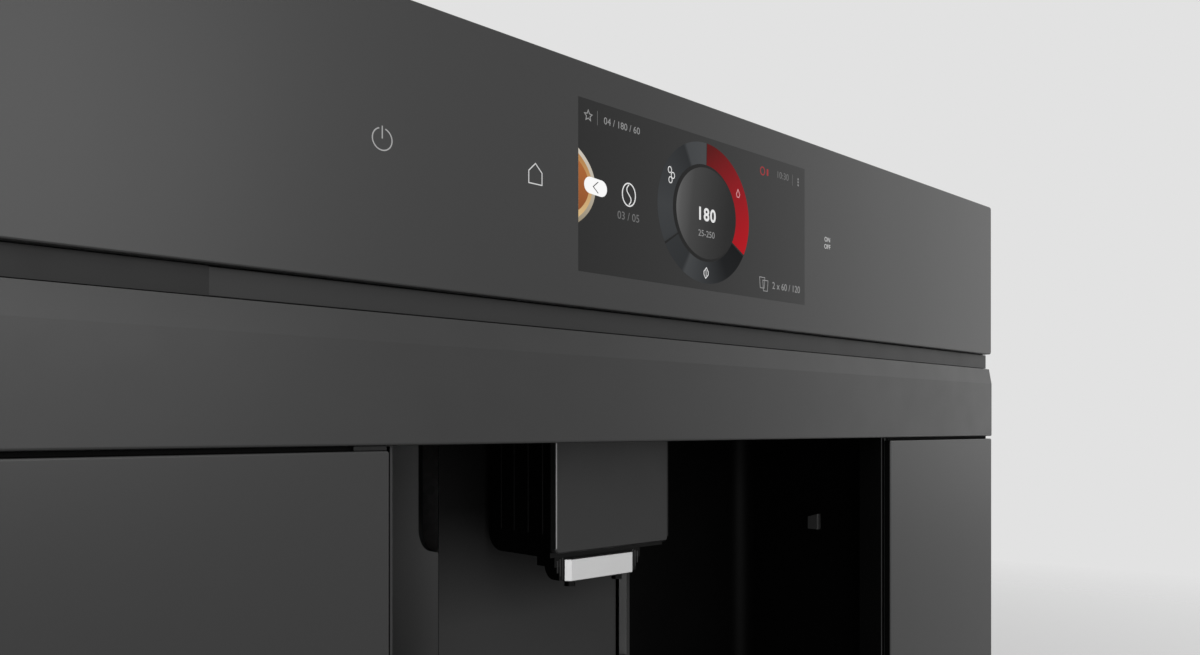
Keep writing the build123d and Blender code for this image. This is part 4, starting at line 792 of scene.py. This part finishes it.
# ---- Helpers for things that sit on a face ---------------------------------------------------
LEFT = (-1, 0, 0)
RIGHT = (1, 0, 0)
FORWARD = (0, -1, 0)
BACKWARD = (0, 1, 0)
UPWARD = (0, 0, 1)
DOWNWARD = (0, 0, -1)


def facing(place, normal, up=None):
    """A matrix that takes (across, up, out) on a face to the part's own axes."""
    out = Vector(normal)
    rise = Vector(up or (BACKWARD if normal[2] else UPWARD))
    turn = Matrix((rise.cross(out), rise, out)).transposed().to_4x4()
    return Matrix.Translation(place) @ turn


def lofted(bm, place, rows):
    """A closed skin through rows of (across, up, out) points, each row with as many points."""
    made = [[bm.verts.new(place @ Vector(point)) for point in row] for row in rows]
    for before, after in zip(made, made[1:]):
        for at in range(len(before)):
            follow = (at + 1) % len(before)
            bm.faces.new((before[at], before[follow], after[follow], after[at]))
    bm.faces.new(list(reversed(made[0])))
    bm.faces.new(made[-1])


def turnings(name, seats, rings, segments, body, slot, material=None):
    """Turned solids of (radius, height) rings; a third number gives a ring six lobes.

    Each seat is a place, the way it faces and, where it matters, the way that is up on it.
    """
    rows = []
    for radius, height, *lobes in rings:
        row = []
        for step in range(segments):
            angle = math.tau * step / segments
            reach = radius * (1 + sum(lobes) * math.cos(6 * angle))
            row.append((reach * math.cos(angle), reach * math.sin(angle), height))
        rows.append(row)
    bm = bmesh.new()
    for seat in seats:
        lofted(bm, facing(*seat), rows)
    piece(name, bm, body, slot, material)


def ribs(name, seats, rings, steps, body, slot, material=None):
    """Round-ended ribs of (half width, height) rings; each seat starts with the rib's half length."""
    bm = bmesh.new()
    for half_length, *seat in seats:
        reach = half_length - rings[0][0]
        rows = []
        for radius, height in rings:
            ends = arc((reach, 0), radius, -90, 90, steps) + arc((-reach, 0), radius, 90, 270, steps)
            rows.append([(across, up, height) for across, up in ends])
        lofted(bm, facing(*seat), rows)
    piece(name, bm, body, slot, material)


def plate(bm, place, half_width, half_height, low, high, corner, steps=4):
    """A small flat block on a face with round corners and a softened top edge."""
    rows = []
    for inset, height in ((0.0, low), (0.0, high - corner / 2), (corner / 2, high)):
        row = []
        for cx, cy, start in ((1, 1, 0), (-1, 1, 90), (-1, -1, 180), (1, -1, 270)):
            middle = (cx * (half_width - corner), cy * (half_height - corner))
            row += [(*point, height) for point in arc(middle, corner - inset, start, start + 90, steps)]
        rows.append(row)
    lofted(bm, place, rows)


def block(name, x, y, z, body, slot, material, rounding=0.4):
    """A straight strip between two places along each axis; rounding is a share of its narrower half."""
    middle = (sum(x) / 2, y[0], sum(z) / 2)
    half_width, half_height = (x[1] - x[0]) / 2, (z[1] - z[0]) / 2
    corner = min(half_width, half_height) * rounding
    bm = bmesh.new()
    plate(bm, facing(middle, FORWARD), half_width, half_height, y[0] - y[1], 0.0, corner)
    piece(name, bm, body, slot, material)


# A pan head above its seat, as shares of its radius: radius, height and how deep its lobes are.
PAN_HEAD = (
    (1.0, 0.18, 0.0),
    (0.93, 0.34, 0.0),
    (0.76, 0.46, 0.0),
    (0.5, 0.52, 0.0),
    (0.42, 0.5, 0.12),
    (0.38, 0.16, 0.12),
)
HEAD_SUNK = 0.15


def screws(name, seats, radius=3.4, body="root", slot="zinc_sheet"):
    """Pan heads with six-lobed sockets."""
    rings = [(radius, -HEAD_SUNK)]
    rings += [(share * radius, height * radius, lobes) for share, height, lobes in PAN_HEAD]
    turnings(name, seats, rings, 36, body, slot, SCREW_STEEL)


# ---- Seams and edges of the front -----------------------------------------------------------
STRIP_LOW, STRIP_HIGH = box_mm("groove_strip")
BAR_LOW, BAR_HIGH = box_mm("door_bar")
PANEL_LEFT_LOW, PANEL_LEFT_HIGH = box_mm("door_panel_left")
PANEL_RIGHT_LOW, PANEL_RIGHT_HIGH = box_mm("door_panel_right")
SEAL_INSET = 2.0
STRIP_SEAL_DEPTH = (1.0, 9.0)
STRIP_SEAL_LAP = 1.0
STRIP_SEAL_CLEARANCE = 0.25
DOOR_SEAL_DEPTH = (3.0, 6.0)
PAD_REACH = (-12.8, -0.3)
PAD_DEPTH = (1.2, 3.0)
LIP_WIDTH = 2.8
LIP_DEPTH = (0.0, 1.0)
STRIP_COVER_WIDTH = 73.0
STRIP_COVER_DEPTH = (-0.25, 0.1)


def beyond(place, steps):
    """The places that lie the given steps beyond one."""
    return [place + step for step in steps]


def inside(low, high):
    """From one edge to another, less the seal's inset."""
    return (low + SEAL_INSET, high - SEAL_INSET)


def seam_seals():
    """Foam strips behind the seams over and under the recessed strip, on the fixed front."""
    ends = ("root", "rubber_black", MATERIALS["seal_foam"])
    across = inside(STRIP_LOW.x, STRIP_HIGH.x)
    depth = beyond(STRIP_LOW.y, STRIP_SEAL_DEPTH)
    block("strip_seal_upper", across, depth, (STRIP_HIGH.z, GLASS_LOW.z + STRIP_SEAL_LAP), *ends)
    block("strip_seal_lower", across, depth, (BAR_HIGH.z + STRIP_SEAL_CLEARANCE, STRIP_LOW.z), *ends)


def door_seals():
    """Seals in the seam between the door's bar and its panels, and the small pad beside the niche."""
    ends = ("door", "rubber_black", MATERIALS["seal_foam"])
    gap = (PANEL_LEFT_HIGH.z, BAR_LOW.z)
    depth = beyond(BAR_LOW.y, DOOR_SEAL_DEPTH)
    block("door_seal_left", inside(PANEL_LEFT_LOW.x, PANEL_LEFT_HIGH.x), depth, gap, *ends)
    block("door_seal_right", inside(PANEL_RIGHT_LOW.x, PANEL_RIGHT_HIGH.x), depth, gap, *ends)
    reach, depth = beyond(PANEL_LEFT_HIGH.x, PAD_REACH), beyond(BAR_LOW.y, PAD_DEPTH)
    block("door_seam_pad", reach, depth, gap, "door", "door_plastic", lacquer("pad_paint", 18, 0.5, 0.2))


def door_edge_lips():
    """The narrow lips of the carrier that close the step beside each door panel's inner edge; their pale
    grey is a painted highlight along that edge.
    """
    # Pale grey: a painted highlight along the lips' edges.
    ends = ("door", "door_plastic", lacquer("lip_painted_highlight", 105, 0.5, 0.3))
    depth = beyond(PANEL_LEFT_HIGH.y, LIP_DEPTH)
    height = (PANEL_LEFT_LOW.z, BAR_LOW.z)
    block("door_edge_lip_left", beyond(PANEL_LEFT_HIGH.x, (0.0, LIP_WIDTH)), depth, height, *ends)
    block("door_edge_lip_right", beyond(PANEL_RIGHT_LOW.x, (-LIP_WIDTH, 0.0)), depth, height, *ends)


def strip_cover():
    """The clip-on cover over the hinge end of the recessed strip."""
    paint = lacquer("strip_cover_paint", 22, 0.5, 0.25)
    x = (STRIP_LOW.x, STRIP_LOW.x + STRIP_COVER_WIDTH)
    y = beyond(STRIP_LOW.y, STRIP_COVER_DEPTH)
    block("strip_end_cover", x, y, (STRIP_LOW.z, STRIP_HIGH.z), "root", "strip_paint", paint, rounding=0.03)


# ---- The outlet -----------------------------------------------------------------------------
COVER_LOW, COVER_HIGH = box_mm("outlet_cover")
TRIM_LOW, TRIM_HIGH = box_mm("outlet_trim")
HOUSING_LOW, HOUSING_HIGH = box_mm("outlet_housing")
FROTHER_LOW, FROTHER_HIGH = box_mm("frother_block")
SKIN_EDGE = (-0.08, 0.7)
SKIN_RISE = 2.6
HOUSING_RIB_DEPTHS = (5.5, 16.5, 27.5, 38.0)
HOUSING_RIB_RISE = 5.0
HOUSING_RIB_INSET = 6.0
HOUSING_RIB = ((0.3, -0.05), (0.3, 0.02), (0.12, 0.14))
NOZZLE_X = 16.5
COLLAR_RISE = 4.0
COLLAR = ((2.8, -0.3), (3.9, 0.0), (3.9, 0.9), (3.2, 1.5), (2.8, 1.5))
FROTHER_RIB_OFFSETS = (0.9, 2.6, 4.3)
FROTHER_RIB_FOOT = 0.6
FROTHER_RIB_TOP = 15.5
FROTHER_RIB_SUNK = 0.1
FROTHER_RIB_SHORTER = 1.2
FROTHER_RIB = ((0.45, -0.6), (0.45, 0.2), (0.2, 0.45))


def cover_edges():
    """The bare edges of the outlet cover's skin: on the left a bright metal strip that is a painted
    highlight, painted over on the right.
    """
    depth = beyond(COVER_LOW.y, SKIN_EDGE)
    height = (COVER_LOW.z + SKIN_RISE, COVER_HIGH.z)
    left = beyond(COVER_LOW.x, SKIN_EDGE)
    right = [COVER_HIGH.x - step for step in reversed(SKIN_EDGE)]
    # A painted highlight: a bright strip down the left edge.
    highlight_strip = plated("cover_edge", 140, 0.38)
    painted = lacquer("cover_edge_paint", 20, 0.5, 0.2)
    block("cover_edge_left", left, depth, height, "outlet_cover", "trim_steel", highlight_strip)
    block("cover_edge_right", right, depth, height, "outlet_cover", "trim_steel", painted)


def housing_ribs():
    """Fine draft ribs down the sides of the outlet housing."""
    half = (HOUSING_HIGH.z - HOUSING_LOW.z) / 2 - HOUSING_RIB_INSET
    z = (HOUSING_LOW.z + HOUSING_HIGH.z) / 2 + HOUSING_RIB_RISE
    seats = []
    for x, normal, up in ((HOUSING_LOW.x, LEFT, BACKWARD), (HOUSING_HIGH.x, RIGHT, FORWARD)):
        seats += [(half, (x, y, z), normal, up) for y in beyond(HOUSING_LOW.y, HOUSING_RIB_DEPTHS)]
    material = gloss("rib_gloss", grey(30), 0.35, 0.4)
    ribs("housing_ribs", seats, HOUSING_RIB, 4, "outlet", "outlet_gloss", material)


def nozzle_collars():
    """The press-in collars of the two coffee nozzles."""
    y = (FROTHER_LOW.y + FROTHER_HIGH.y) / 2
    seats = [((x, y, FROTHER_LOW.z + COLLAR_RISE), DOWNWARD) for x in (-NOZZLE_X, NOZZLE_X)]
    turnings("nozzle_collars", seats, COLLAR, 28, "frother", "outlet_gloss")


def frother_ribs():
    """Upright ribs on the front of the frother block, left and right of its trim, shorter outwards."""
    y = FROTHER_LOW.y + FROTHER_RIB_SUNK
    low, high = TRIM_LOW.z + FROTHER_RIB_FOOT, FROTHER_LOW.z + FROTHER_RIB_TOP
    seats = []
    for side, up in ((-1, LEFT), (1, RIGHT)):
        for step, offset in enumerate(FROTHER_RIB_OFFSETS):
            shorter = FROTHER_RIB_SHORTER * step
            place = (side * (TRIM_HIGH.x + offset), y, (low + high + shorter) / 2)
            seats.append(((high - low) / 2 - shorter, place, FORWARD, up))
    material = gloss("frother_rib_gloss", grey(18), 0.3, 0.3)
    ribs("frother_ribs", seats, FROTHER_RIB, 6, "frother", "outlet_gloss", material)


seam_seals()
door_seals()
door_edge_lips()
strip_cover()
cover_edges()
housing_ribs()
nozzle_collars()
frother_ribs()


# ---- Casing: screws, beads, vents, feet ------------------------------------------------------
REAR_LOW, REAR_HIGH = box_mm("rear_panel")
SIDE_LOW, SIDE_HIGH = box_mm("side_panels")
TOP_LOW, TOP_HIGH = box_mm("top_cover")
SIDES = ((SIDE_LOW.x, LEFT), (SIDE_HIGH.x, RIGHT))
EDGE_SCREW_INSET = 9.0
SIDE_SCREW_INSET = 14.0
TOP_SCREW_INSET = 12.0
SCREWS_IN_ROW = 4
MIDDLE_SCREW_X = (-92.0, 92.0)


def spread(low, high, inset, count):
    """Evenly spaced places between two edges, the outer ones an inset away from them."""
    low, high = low + inset, high - inset
    return [low + (high - low) * step / (count - 1) for step in range(count)]


def casing_screws():
    """The screws that hold the rear, side and top sheets."""
    rows = spread(REAR_LOW.z, REAR_HIGH.z, EDGE_SCREW_INSET, SCREWS_IN_ROW)
    places = [(x, z) for z in rows for x in spread(REAR_LOW.x, REAR_HIGH.x, EDGE_SCREW_INSET, 2)]
    places += [(x, z) for x in MIDDLE_SCREW_X for z in (rows[0], rows[-1])]
    screws("rear_screws", [((x, REAR_HIGH.y, z), BACKWARD) for x, z in places])

    along = spread(SIDE_LOW.y, SIDE_HIGH.y, SIDE_SCREW_INSET, SCREWS_IN_ROW)
    rows = spread(SIDE_LOW.z, SIDE_HIGH.z, EDGE_SCREW_INSET, 2)
    screws("side_screws", [((x, y, z), normal) for x, normal in SIDES for y in along for z in rows])

    across = spread(TOP_LOW.x, TOP_HIGH.x, TOP_SCREW_INSET, 3)
    along = spread(TOP_LOW.y, TOP_HIGH.y, TOP_SCREW_INSET, 2)
    screws("top_screws", [((x, y, TOP_HIGH.z), UPWARD) for x in across for y in along])


SIDE_BEAD_Z = (95.0, 225.0, 355.0)
TOP_BEAD_Y = (-95.0, 10.0, 115.0)
REAR_BEAD_X = 40.0
REAR_BEAD_Z = (120.0, 170.0, 220.0)
BEAD_SUNK = 0.1
BEAD_LIFT = 0.01
BEAD_STEPS = 5
BEAD_NARROWING = 0.8
BEAD_FULLNESS = 0.7


def beads(name, seats, length, width, height):
    """Stiffening beads pressed out of a sheet, with rounded backs."""
    rings = [(width / 2, -BEAD_SUNK)]
    for step in range(BEAD_STEPS + 1):
        share = step / BEAD_STEPS
        half = width / 2 * (1 - BEAD_NARROWING * share**BEAD_FULLNESS)
        rings.append((half, height * math.sin(math.pi / 2 * share) + BEAD_LIFT))
    ribs(name, [(length / 2, *seat) for seat in seats], rings, 10, "root", "zinc_sheet")


def casing_beads():
    """The beads that stiffen the side, top and rear sheets."""
    middle = (SIDE_LOW.y + SIDE_HIGH.y) / 2
    seats = [((x, middle, z), normal) for x, normal in SIDES for z in SIDE_BEAD_Z]
    beads("side_beads", seats, length=260.0, width=14.0, height=1.6)
    seats = [((0.0, y, TOP_HIGH.z), UPWARD) for y in TOP_BEAD_Y]
    beads("top_beads", seats, length=420.0, width=14.0, height=1.6)
    seats = [((REAR_BEAD_X, REAR_HIGH.y, z), BACKWARD) for z in REAR_BEAD_Z]
    beads("rear_beads", seats, length=380.0, width=12.0, height=1.4)


VENT_X = 139.0
VENT_WIDTH = 60.0
VENT_TOP = 385.0
VENT_PITCH = 12.0
VENT_ROWS = 9
HOOD_LAP = 2.0
HOOD_RISE = 3.5
HOOD_DROP = 5.0
HOOD_REACH = 1.9
HOOD_ROOT = 0.02
HOOD_PROUD = 0.05
HOOD_INNER = 0.6
HOOD_SUNK = 0.3
HOOD_FULLNESS = 5
HOOD_STEPS = 16
HOOD_TURNS = 5


def vent_hood(bm, x, z):
    """One pressed louvre: it leaves the sheet above its slot and stands off over it."""
    rows = []
    for step in range(HOOD_STEPS + 1):
        share = -1 + 2 * step / HOOD_STEPS
        across = x + share * (VENT_WIDTH / 2 + HOOD_LAP)
        reach = HOOD_REACH * math.sqrt(1 - abs(share) ** HOOD_FULLNESS)
        outer, inner = [], []
        for turn in range(HOOD_TURNS + 1):
            angle = math.pi / 2 * turn / HOOD_TURNS
            height = z + HOOD_RISE - HOOD_DROP * math.sin(angle)
            out = reach * (1 - math.cos(angle) * (1 - HOOD_ROOT))
            outer.append((across, REAR_HIGH.y + out + HOOD_PROUD, height))
            inner.append((across, REAR_HIGH.y + out * HOOD_INNER - HOOD_SUNK, height))
        rows.append(outer + inner[::-1])
    lofted(bm, Matrix.Identity(4), rows)


def vents():
    """Two columns of louvres over the slots in the rear sheet."""
    bm = bmesh.new()
    for x in (-VENT_X, VENT_X):
        for row in range(VENT_ROWS):
            vent_hood(bm, x, VENT_TOP - VENT_PITCH * row)
    piece("vent_louvres", bm, "root", "zinc_sheet")


FOOT_X = (-238.0, 238.0)
FOOT_Y = (-124.0, 145.2)
FOOT_RIM = ((13.9, 1.4), (14.5, 1.8), (14.6, 2.5), (14.5, 3.2), (13.9, 3.6))
INLET_LOW, INLET_HIGH = box_mm("mains_inlet")
PIN_OFFSETS = ((-7.0, -1.5), (0.0, 2.5), (7.0, -1.5))
PIN_SEAT = 2.5
PIN_HALVES = (1.0, 2.1)
PIN_LENGTH = 16.5
PIN_CORNER = 0.7
INLET_SCREW_X = 18.0
INLET_SCREW_SUNK = 1.4


def foot_details():
    """A moulded rim round each rubber foot."""
    seats = [((x, y, 0.0), UPWARD) for x in FOOT_X for y in FOOT_Y]
    turnings("foot_rims", seats, FOOT_RIM, 48, "root", "rubber_black")


def inlet_details():
    """The three pins in the mains inlet and the two screws beside them."""
    middle = (INLET_LOW + INLET_HIGH) / 2
    bm = bmesh.new()
    for across, up in PIN_OFFSETS:
        place = facing((middle.x + across, INLET_LOW.y + PIN_SEAT, middle.z + up), BACKWARD)
        plate(bm, place, *PIN_HALVES, 0.0, PIN_LENGTH, PIN_CORNER)
    piece("inlet_pins", bm, "root", "valve_brass")
    y = INLET_HIGH.y - INLET_SCREW_SUNK
    seats = [((middle.x + step, y, middle.z), BACKWARD) for step in (-INLET_SCREW_X, INLET_SCREW_X)]
    screws("inlet_screws", seats, radius=2.6, slot="hinge_steel")


casing_screws()
casing_beads()
vents()
foot_details()
inlet_details()


# ---- Behind the door: frame, drawers, controls -----------------------------------------------
FRAME_LOW, FRAME_HIGH = box_mm("front_frame")
DOOR_HIGH = box_mm("door_frame")[1]
TANK_LOW, TANK_HIGH = box_mm("water_tank")
KNOB_LOW, KNOB_HIGH = box_mm("grind_knob")
SWITCH_LOW, SWITCH_HIGH = box_mm("mains_switch")
FRAME_SCREW_INSET = 22.0
FRAME_SCREW_Z = (22.0, 150.0, 336.0)
DOOR_SCREW_X = (-288.0, -172.0, 172.0, 288.0)
DOOR_SCREW_Z = (60.0, 165.0, 285.0)


def door_side_screws():
    """The screws that hold the front frame, and those that hold the door's carrier to its panels."""
    across = spread(FRAME_LOW.x, FRAME_HIGH.x, FRAME_SCREW_INSET, 2)
    seats = [((x, FRAME_LOW.y, z), FORWARD) for x in across for z in FRAME_SCREW_Z]
    screws("frame_screws", seats, radius=2.8, slot="frame_paint")
    seats = [((x, DOOR_HIGH.y, z), BACKWARD) for x in DOOR_SCREW_X for z in DOOR_SCREW_Z]
    screws("door_screws", seats, radius=2.6, body="door", slot="hinge_steel")


MARK_DEPTH = 0.4
LEVEL_RISES = (38.0, 88.0, 138.0, 188.0, 238.0)
LEVEL_X = -18.0
LEVEL_HALVES = (6.0, 9.0)
LEVEL_LINE = ((0.45, -0.05), (0.45, 0.1), (0.25, 0.25))
LEVEL_NUMBER_X = 11.0
LEVEL_NUMBER_HEIGHT = 6.0
LEVEL_NUMBER_PROUD = 0.25


def marking(name, text, centre, height, front, body, slot):
    """A raised number or switch mark on a face that looks forward."""
    raised_text(name, text, centre, height, MARK_WHITE, (front, front + MARK_DEPTH), body, slot)


def level_marks():
    """The fill lines moulded on the front of the tank, with an amount beside each long one."""
    middle = (TANK_LOW.x + TANK_HIGH.x) / 2
    heights = beyond(TANK_LOW.z, LEVEL_RISES)
    seats = []
    for step, z in enumerate(heights):
        half = LEVEL_HALVES[step % 2]
        seats.append((half, (middle + LEVEL_X + half, TANK_LOW.y, z), FORWARD))
    ribs("tank_level_lines", seats, LEVEL_LINE, 4, "tank", "tank_clear", MARK_WHITE)
    front = TANK_LOW.y - LEVEL_NUMBER_PROUD
    for number, z in enumerate(heights[1::2], start=1):
        spot, name = (middle + LEVEL_NUMBER_X, z), "tank_level_%d" % number
        marking(name, "%d.0" % number, spot, LEVEL_NUMBER_HEIGHT, front, "tank", "tank_clear")


# Each rib: its half length, and how far it is above the lower edge or, as a minus, below the upper one.
GRIP_ROWS = ((20.0, -12.0), (18.5, -15.2), (17.0, -18.4), (15.5, -21.6))
RIDGE_ROWS = ((4.2, 4.0), (4.2, 6.4), (4.2, 8.8), (4.2, 11.2))
GRIP_RIB = ((0.95, -0.1), (0.9, 0.3), (0.45, 0.6))
RIDGE = ((0.6, -0.2), (0.55, 0.2), (0.3, 0.4))


def front_ribs(name, node, rows, rings, steps, body, slot):
    """Ribs across the front of a node."""
    low, high = box_mm(node)
    middle = (low.x + high.x) / 2
    seats = [(half, (middle, low.y, (high if step < 0 else low).z + step), FORWARD) for half, step in rows]
    ribs(name, seats, rings, steps, body, slot)


KNOB_RIBS = 24
KNOB_RIB_SETBACK = 2.6
KNOB_RIB = ((0.55, -0.15), (0.5, 0.12), (0.2, 0.3))
POINTER = ((0.5, -0.1), (0.45, 0.12), (0.2, 0.2))
POINTER_PLACE = 0.5
POINTER_HALF = 0.42
SCALE_ANGLES = (150, 90, 30)
SCALE_GAP = 4.0
SCALE_HEIGHT = 3.0
SCALE_PROUD = 0.12
SWITCH_MARKS = (("switch_on", "I", 5.4), ("switch_off", "O", -5.4))
SWITCH_MARK_HEIGHT = 4.0
SWITCH_MARK_SUNK = 0.55


def knob_details():
    """Grip ribs round the grind knob, its pointer, and the numbers of its scale on the frame."""
    centre = (KNOB_LOW + KNOB_HIGH) / 2
    radius = (KNOB_HIGH.x - KNOB_LOW.x) / 2
    seats = []
    for step in range(KNOB_RIBS):
        angle = math.tau * step / KNOB_RIBS
        out = Vector((math.cos(angle), 0, math.sin(angle)))
        root = Vector((centre.x, KNOB_LOW.y + KNOB_RIB_SETBACK, centre.z)) + out * radius
        seats.append((root, out, (-out.z, 0, out.x)))
    turnings("knob_ribs", seats, KNOB_RIB, 8, "grind_knob", "plastic_black")
    spot = (centre.x, KNOB_LOW.y, centre.z + radius * POINTER_PLACE)
    seats = [(radius * POINTER_HALF, spot, FORWARD, RIGHT)]
    ribs("knob_pointer", seats, POINTER, 5, "grind_knob", "plastic_black", MARK_WHITE)
    front = FRAME_LOW.y - SCALE_PROUD
    for number, angle in enumerate(SCALE_ANGLES, start=1):
        spot = arc((centre.x, centre.z), radius + SCALE_GAP, angle, angle, 1)[0]
        marking("knob_scale_%d" % number, str(number), spot, SCALE_HEIGHT, front, "root", "frame_paint")


def switch_marks():
    """The on and off marks on the rocker of the mains switch."""
    centre = (SWITCH_LOW + SWITCH_HIGH) / 2
    front = SWITCH_LOW.y + SWITCH_MARK_SUNK
    for name, text, rise in SWITCH_MARKS:
        spot = (centre.x, centre.z + rise)
        marking(name, text, spot, SWITCH_MARK_HEIGHT, front, "switch_rocker", "plastic_black")


door_side_screws()
level_marks()
front_ribs("hopper_grip", "bean_hopper", GRIP_ROWS, GRIP_RIB, 6, "hopper", "plastic_black")
front_ribs("grounds_grip", "grounds_container", GRIP_ROWS, GRIP_RIB, 6, "grounds", "plastic_black")
front_ribs("lever_ridges", "brew_lever", RIDGE_ROWS, RIDGE, 5, "brew_lever", "lever_red")
knob_details()
switch_marks()


# ---- Studio: its lengths are metres -----------------------------------------------------------
BACKGROUND = 226
FILL = 0.35
FLOOR_GREY = 228
FLOOR_RADIUS = 6.0
FLOOR_FADE = (0.75, 1.9)
LAMP_AIM = Vector((0, 0, 0.25))
# Each lamp: its name, azimuth, elevation, distance, width and height, and power in watts.
# Azimuth 0 is straight in front of the machine, 90 is its right side.
LAMPS = (
    ("lamp_front", 0, 16, 2.6, (1.5, 1.3), 14),
    ("lamp_left", -32, 6, 2.6, (1.2, 1.2), 9),
    ("lamp_right", 73, 14, 2.6, (1.9, 1.6), 6.3),
    ("lamp_above", -28, 54, 3.6, (3.0, 3.0), 70),
)


def make_world():
    """A soft white fill; the camera, mirrors and glass see the plain background instead."""
    world = bpy.data.worlds.new("studio")
    bpy.context.scene.world = world
    world.use_nodes = True
    tree = world.node_tree
    seen = tree.nodes["Background"]
    wire(tree, seen, {"Color": grey(BACKGROUND)})
    fill = add_node(tree, "Background", {"Color": (1.0, 1.0, 1.0, 1.0), "Strength": FILL})["Background"]
    rays = add_node(tree, "LightPath", {})
    shown = rays["Is Camera Ray"]
    for kind in ("Is Transmission Ray", "Is Glossy Ray"):
        shown = add_node(tree, "Math", {0: shown, 1: rays[kind]}, "MAXIMUM")["Value"]
    mix = add_node(tree, "MixShader", {"Fac": shown, 1: fill, 2: seen.outputs["Background"]})["Shader"]
    wire(tree, tree.nodes["World Output"], {"Surface": mix})


def make_floor():
    """A round pale floor that fades out into the background."""
    bm = bmesh.new()
    bmesh.ops.create_circle(bm, cap_ends=True, radius=FLOOR_RADIUS, segments=96)
    mesh = bpy.data.meshes.new("studio_floor")
    bm.to_mesh(mesh)
    bm.free()
    floor = bpy.data.objects.new("studio_floor", mesh)
    bpy.context.scene.collection.objects.link(floor)
    shader = Shader("studio_floor", grey(FLOOR_GREY), 0.85, specular=0.1)
    distance = shader.node("VectorMath", {0: shader.place}, "LENGTH")["Value"]
    fade = shader.span(distance, 0.0, 1.0, *FLOOR_FADE)
    gone = shader.node("BsdfTransparent", {})["BSDF"]
    mix = shader.node("MixShader", {"Fac": fade, 1: shader.surface.outputs["BSDF"], 2: gone})["Shader"]
    wire(shader.tree, shader.tree.nodes["Material Output"], {"Surface": mix})
    mesh.materials.append(shader.material)


def soft_light(name, azimuth, elevation, distance, size, power):
    """A large lamp that faces the machine."""
    data = bpy.data.lights.new(name, "AREA")
    data.shape = "RECTANGLE"
    data.size, data.size_y = size
    data.energy = power
    lamp = bpy.data.objects.new(name, data)
    turn, tilt = math.radians(azimuth), math.radians(elevation)
    out = Vector((math.sin(turn) * math.cos(tilt), -math.cos(turn) * math.cos(tilt), math.sin(tilt)))
    lamp.location = out * distance + LAMP_AIM
    lamp.rotation_euler = out.to_track_quat("Z", "Y").to_euler()
    bpy.context.scene.collection.objects.link(lamp)


make_world()
make_floor()
for lamp_row in LAMPS:
    soft_light(*lamp_row)
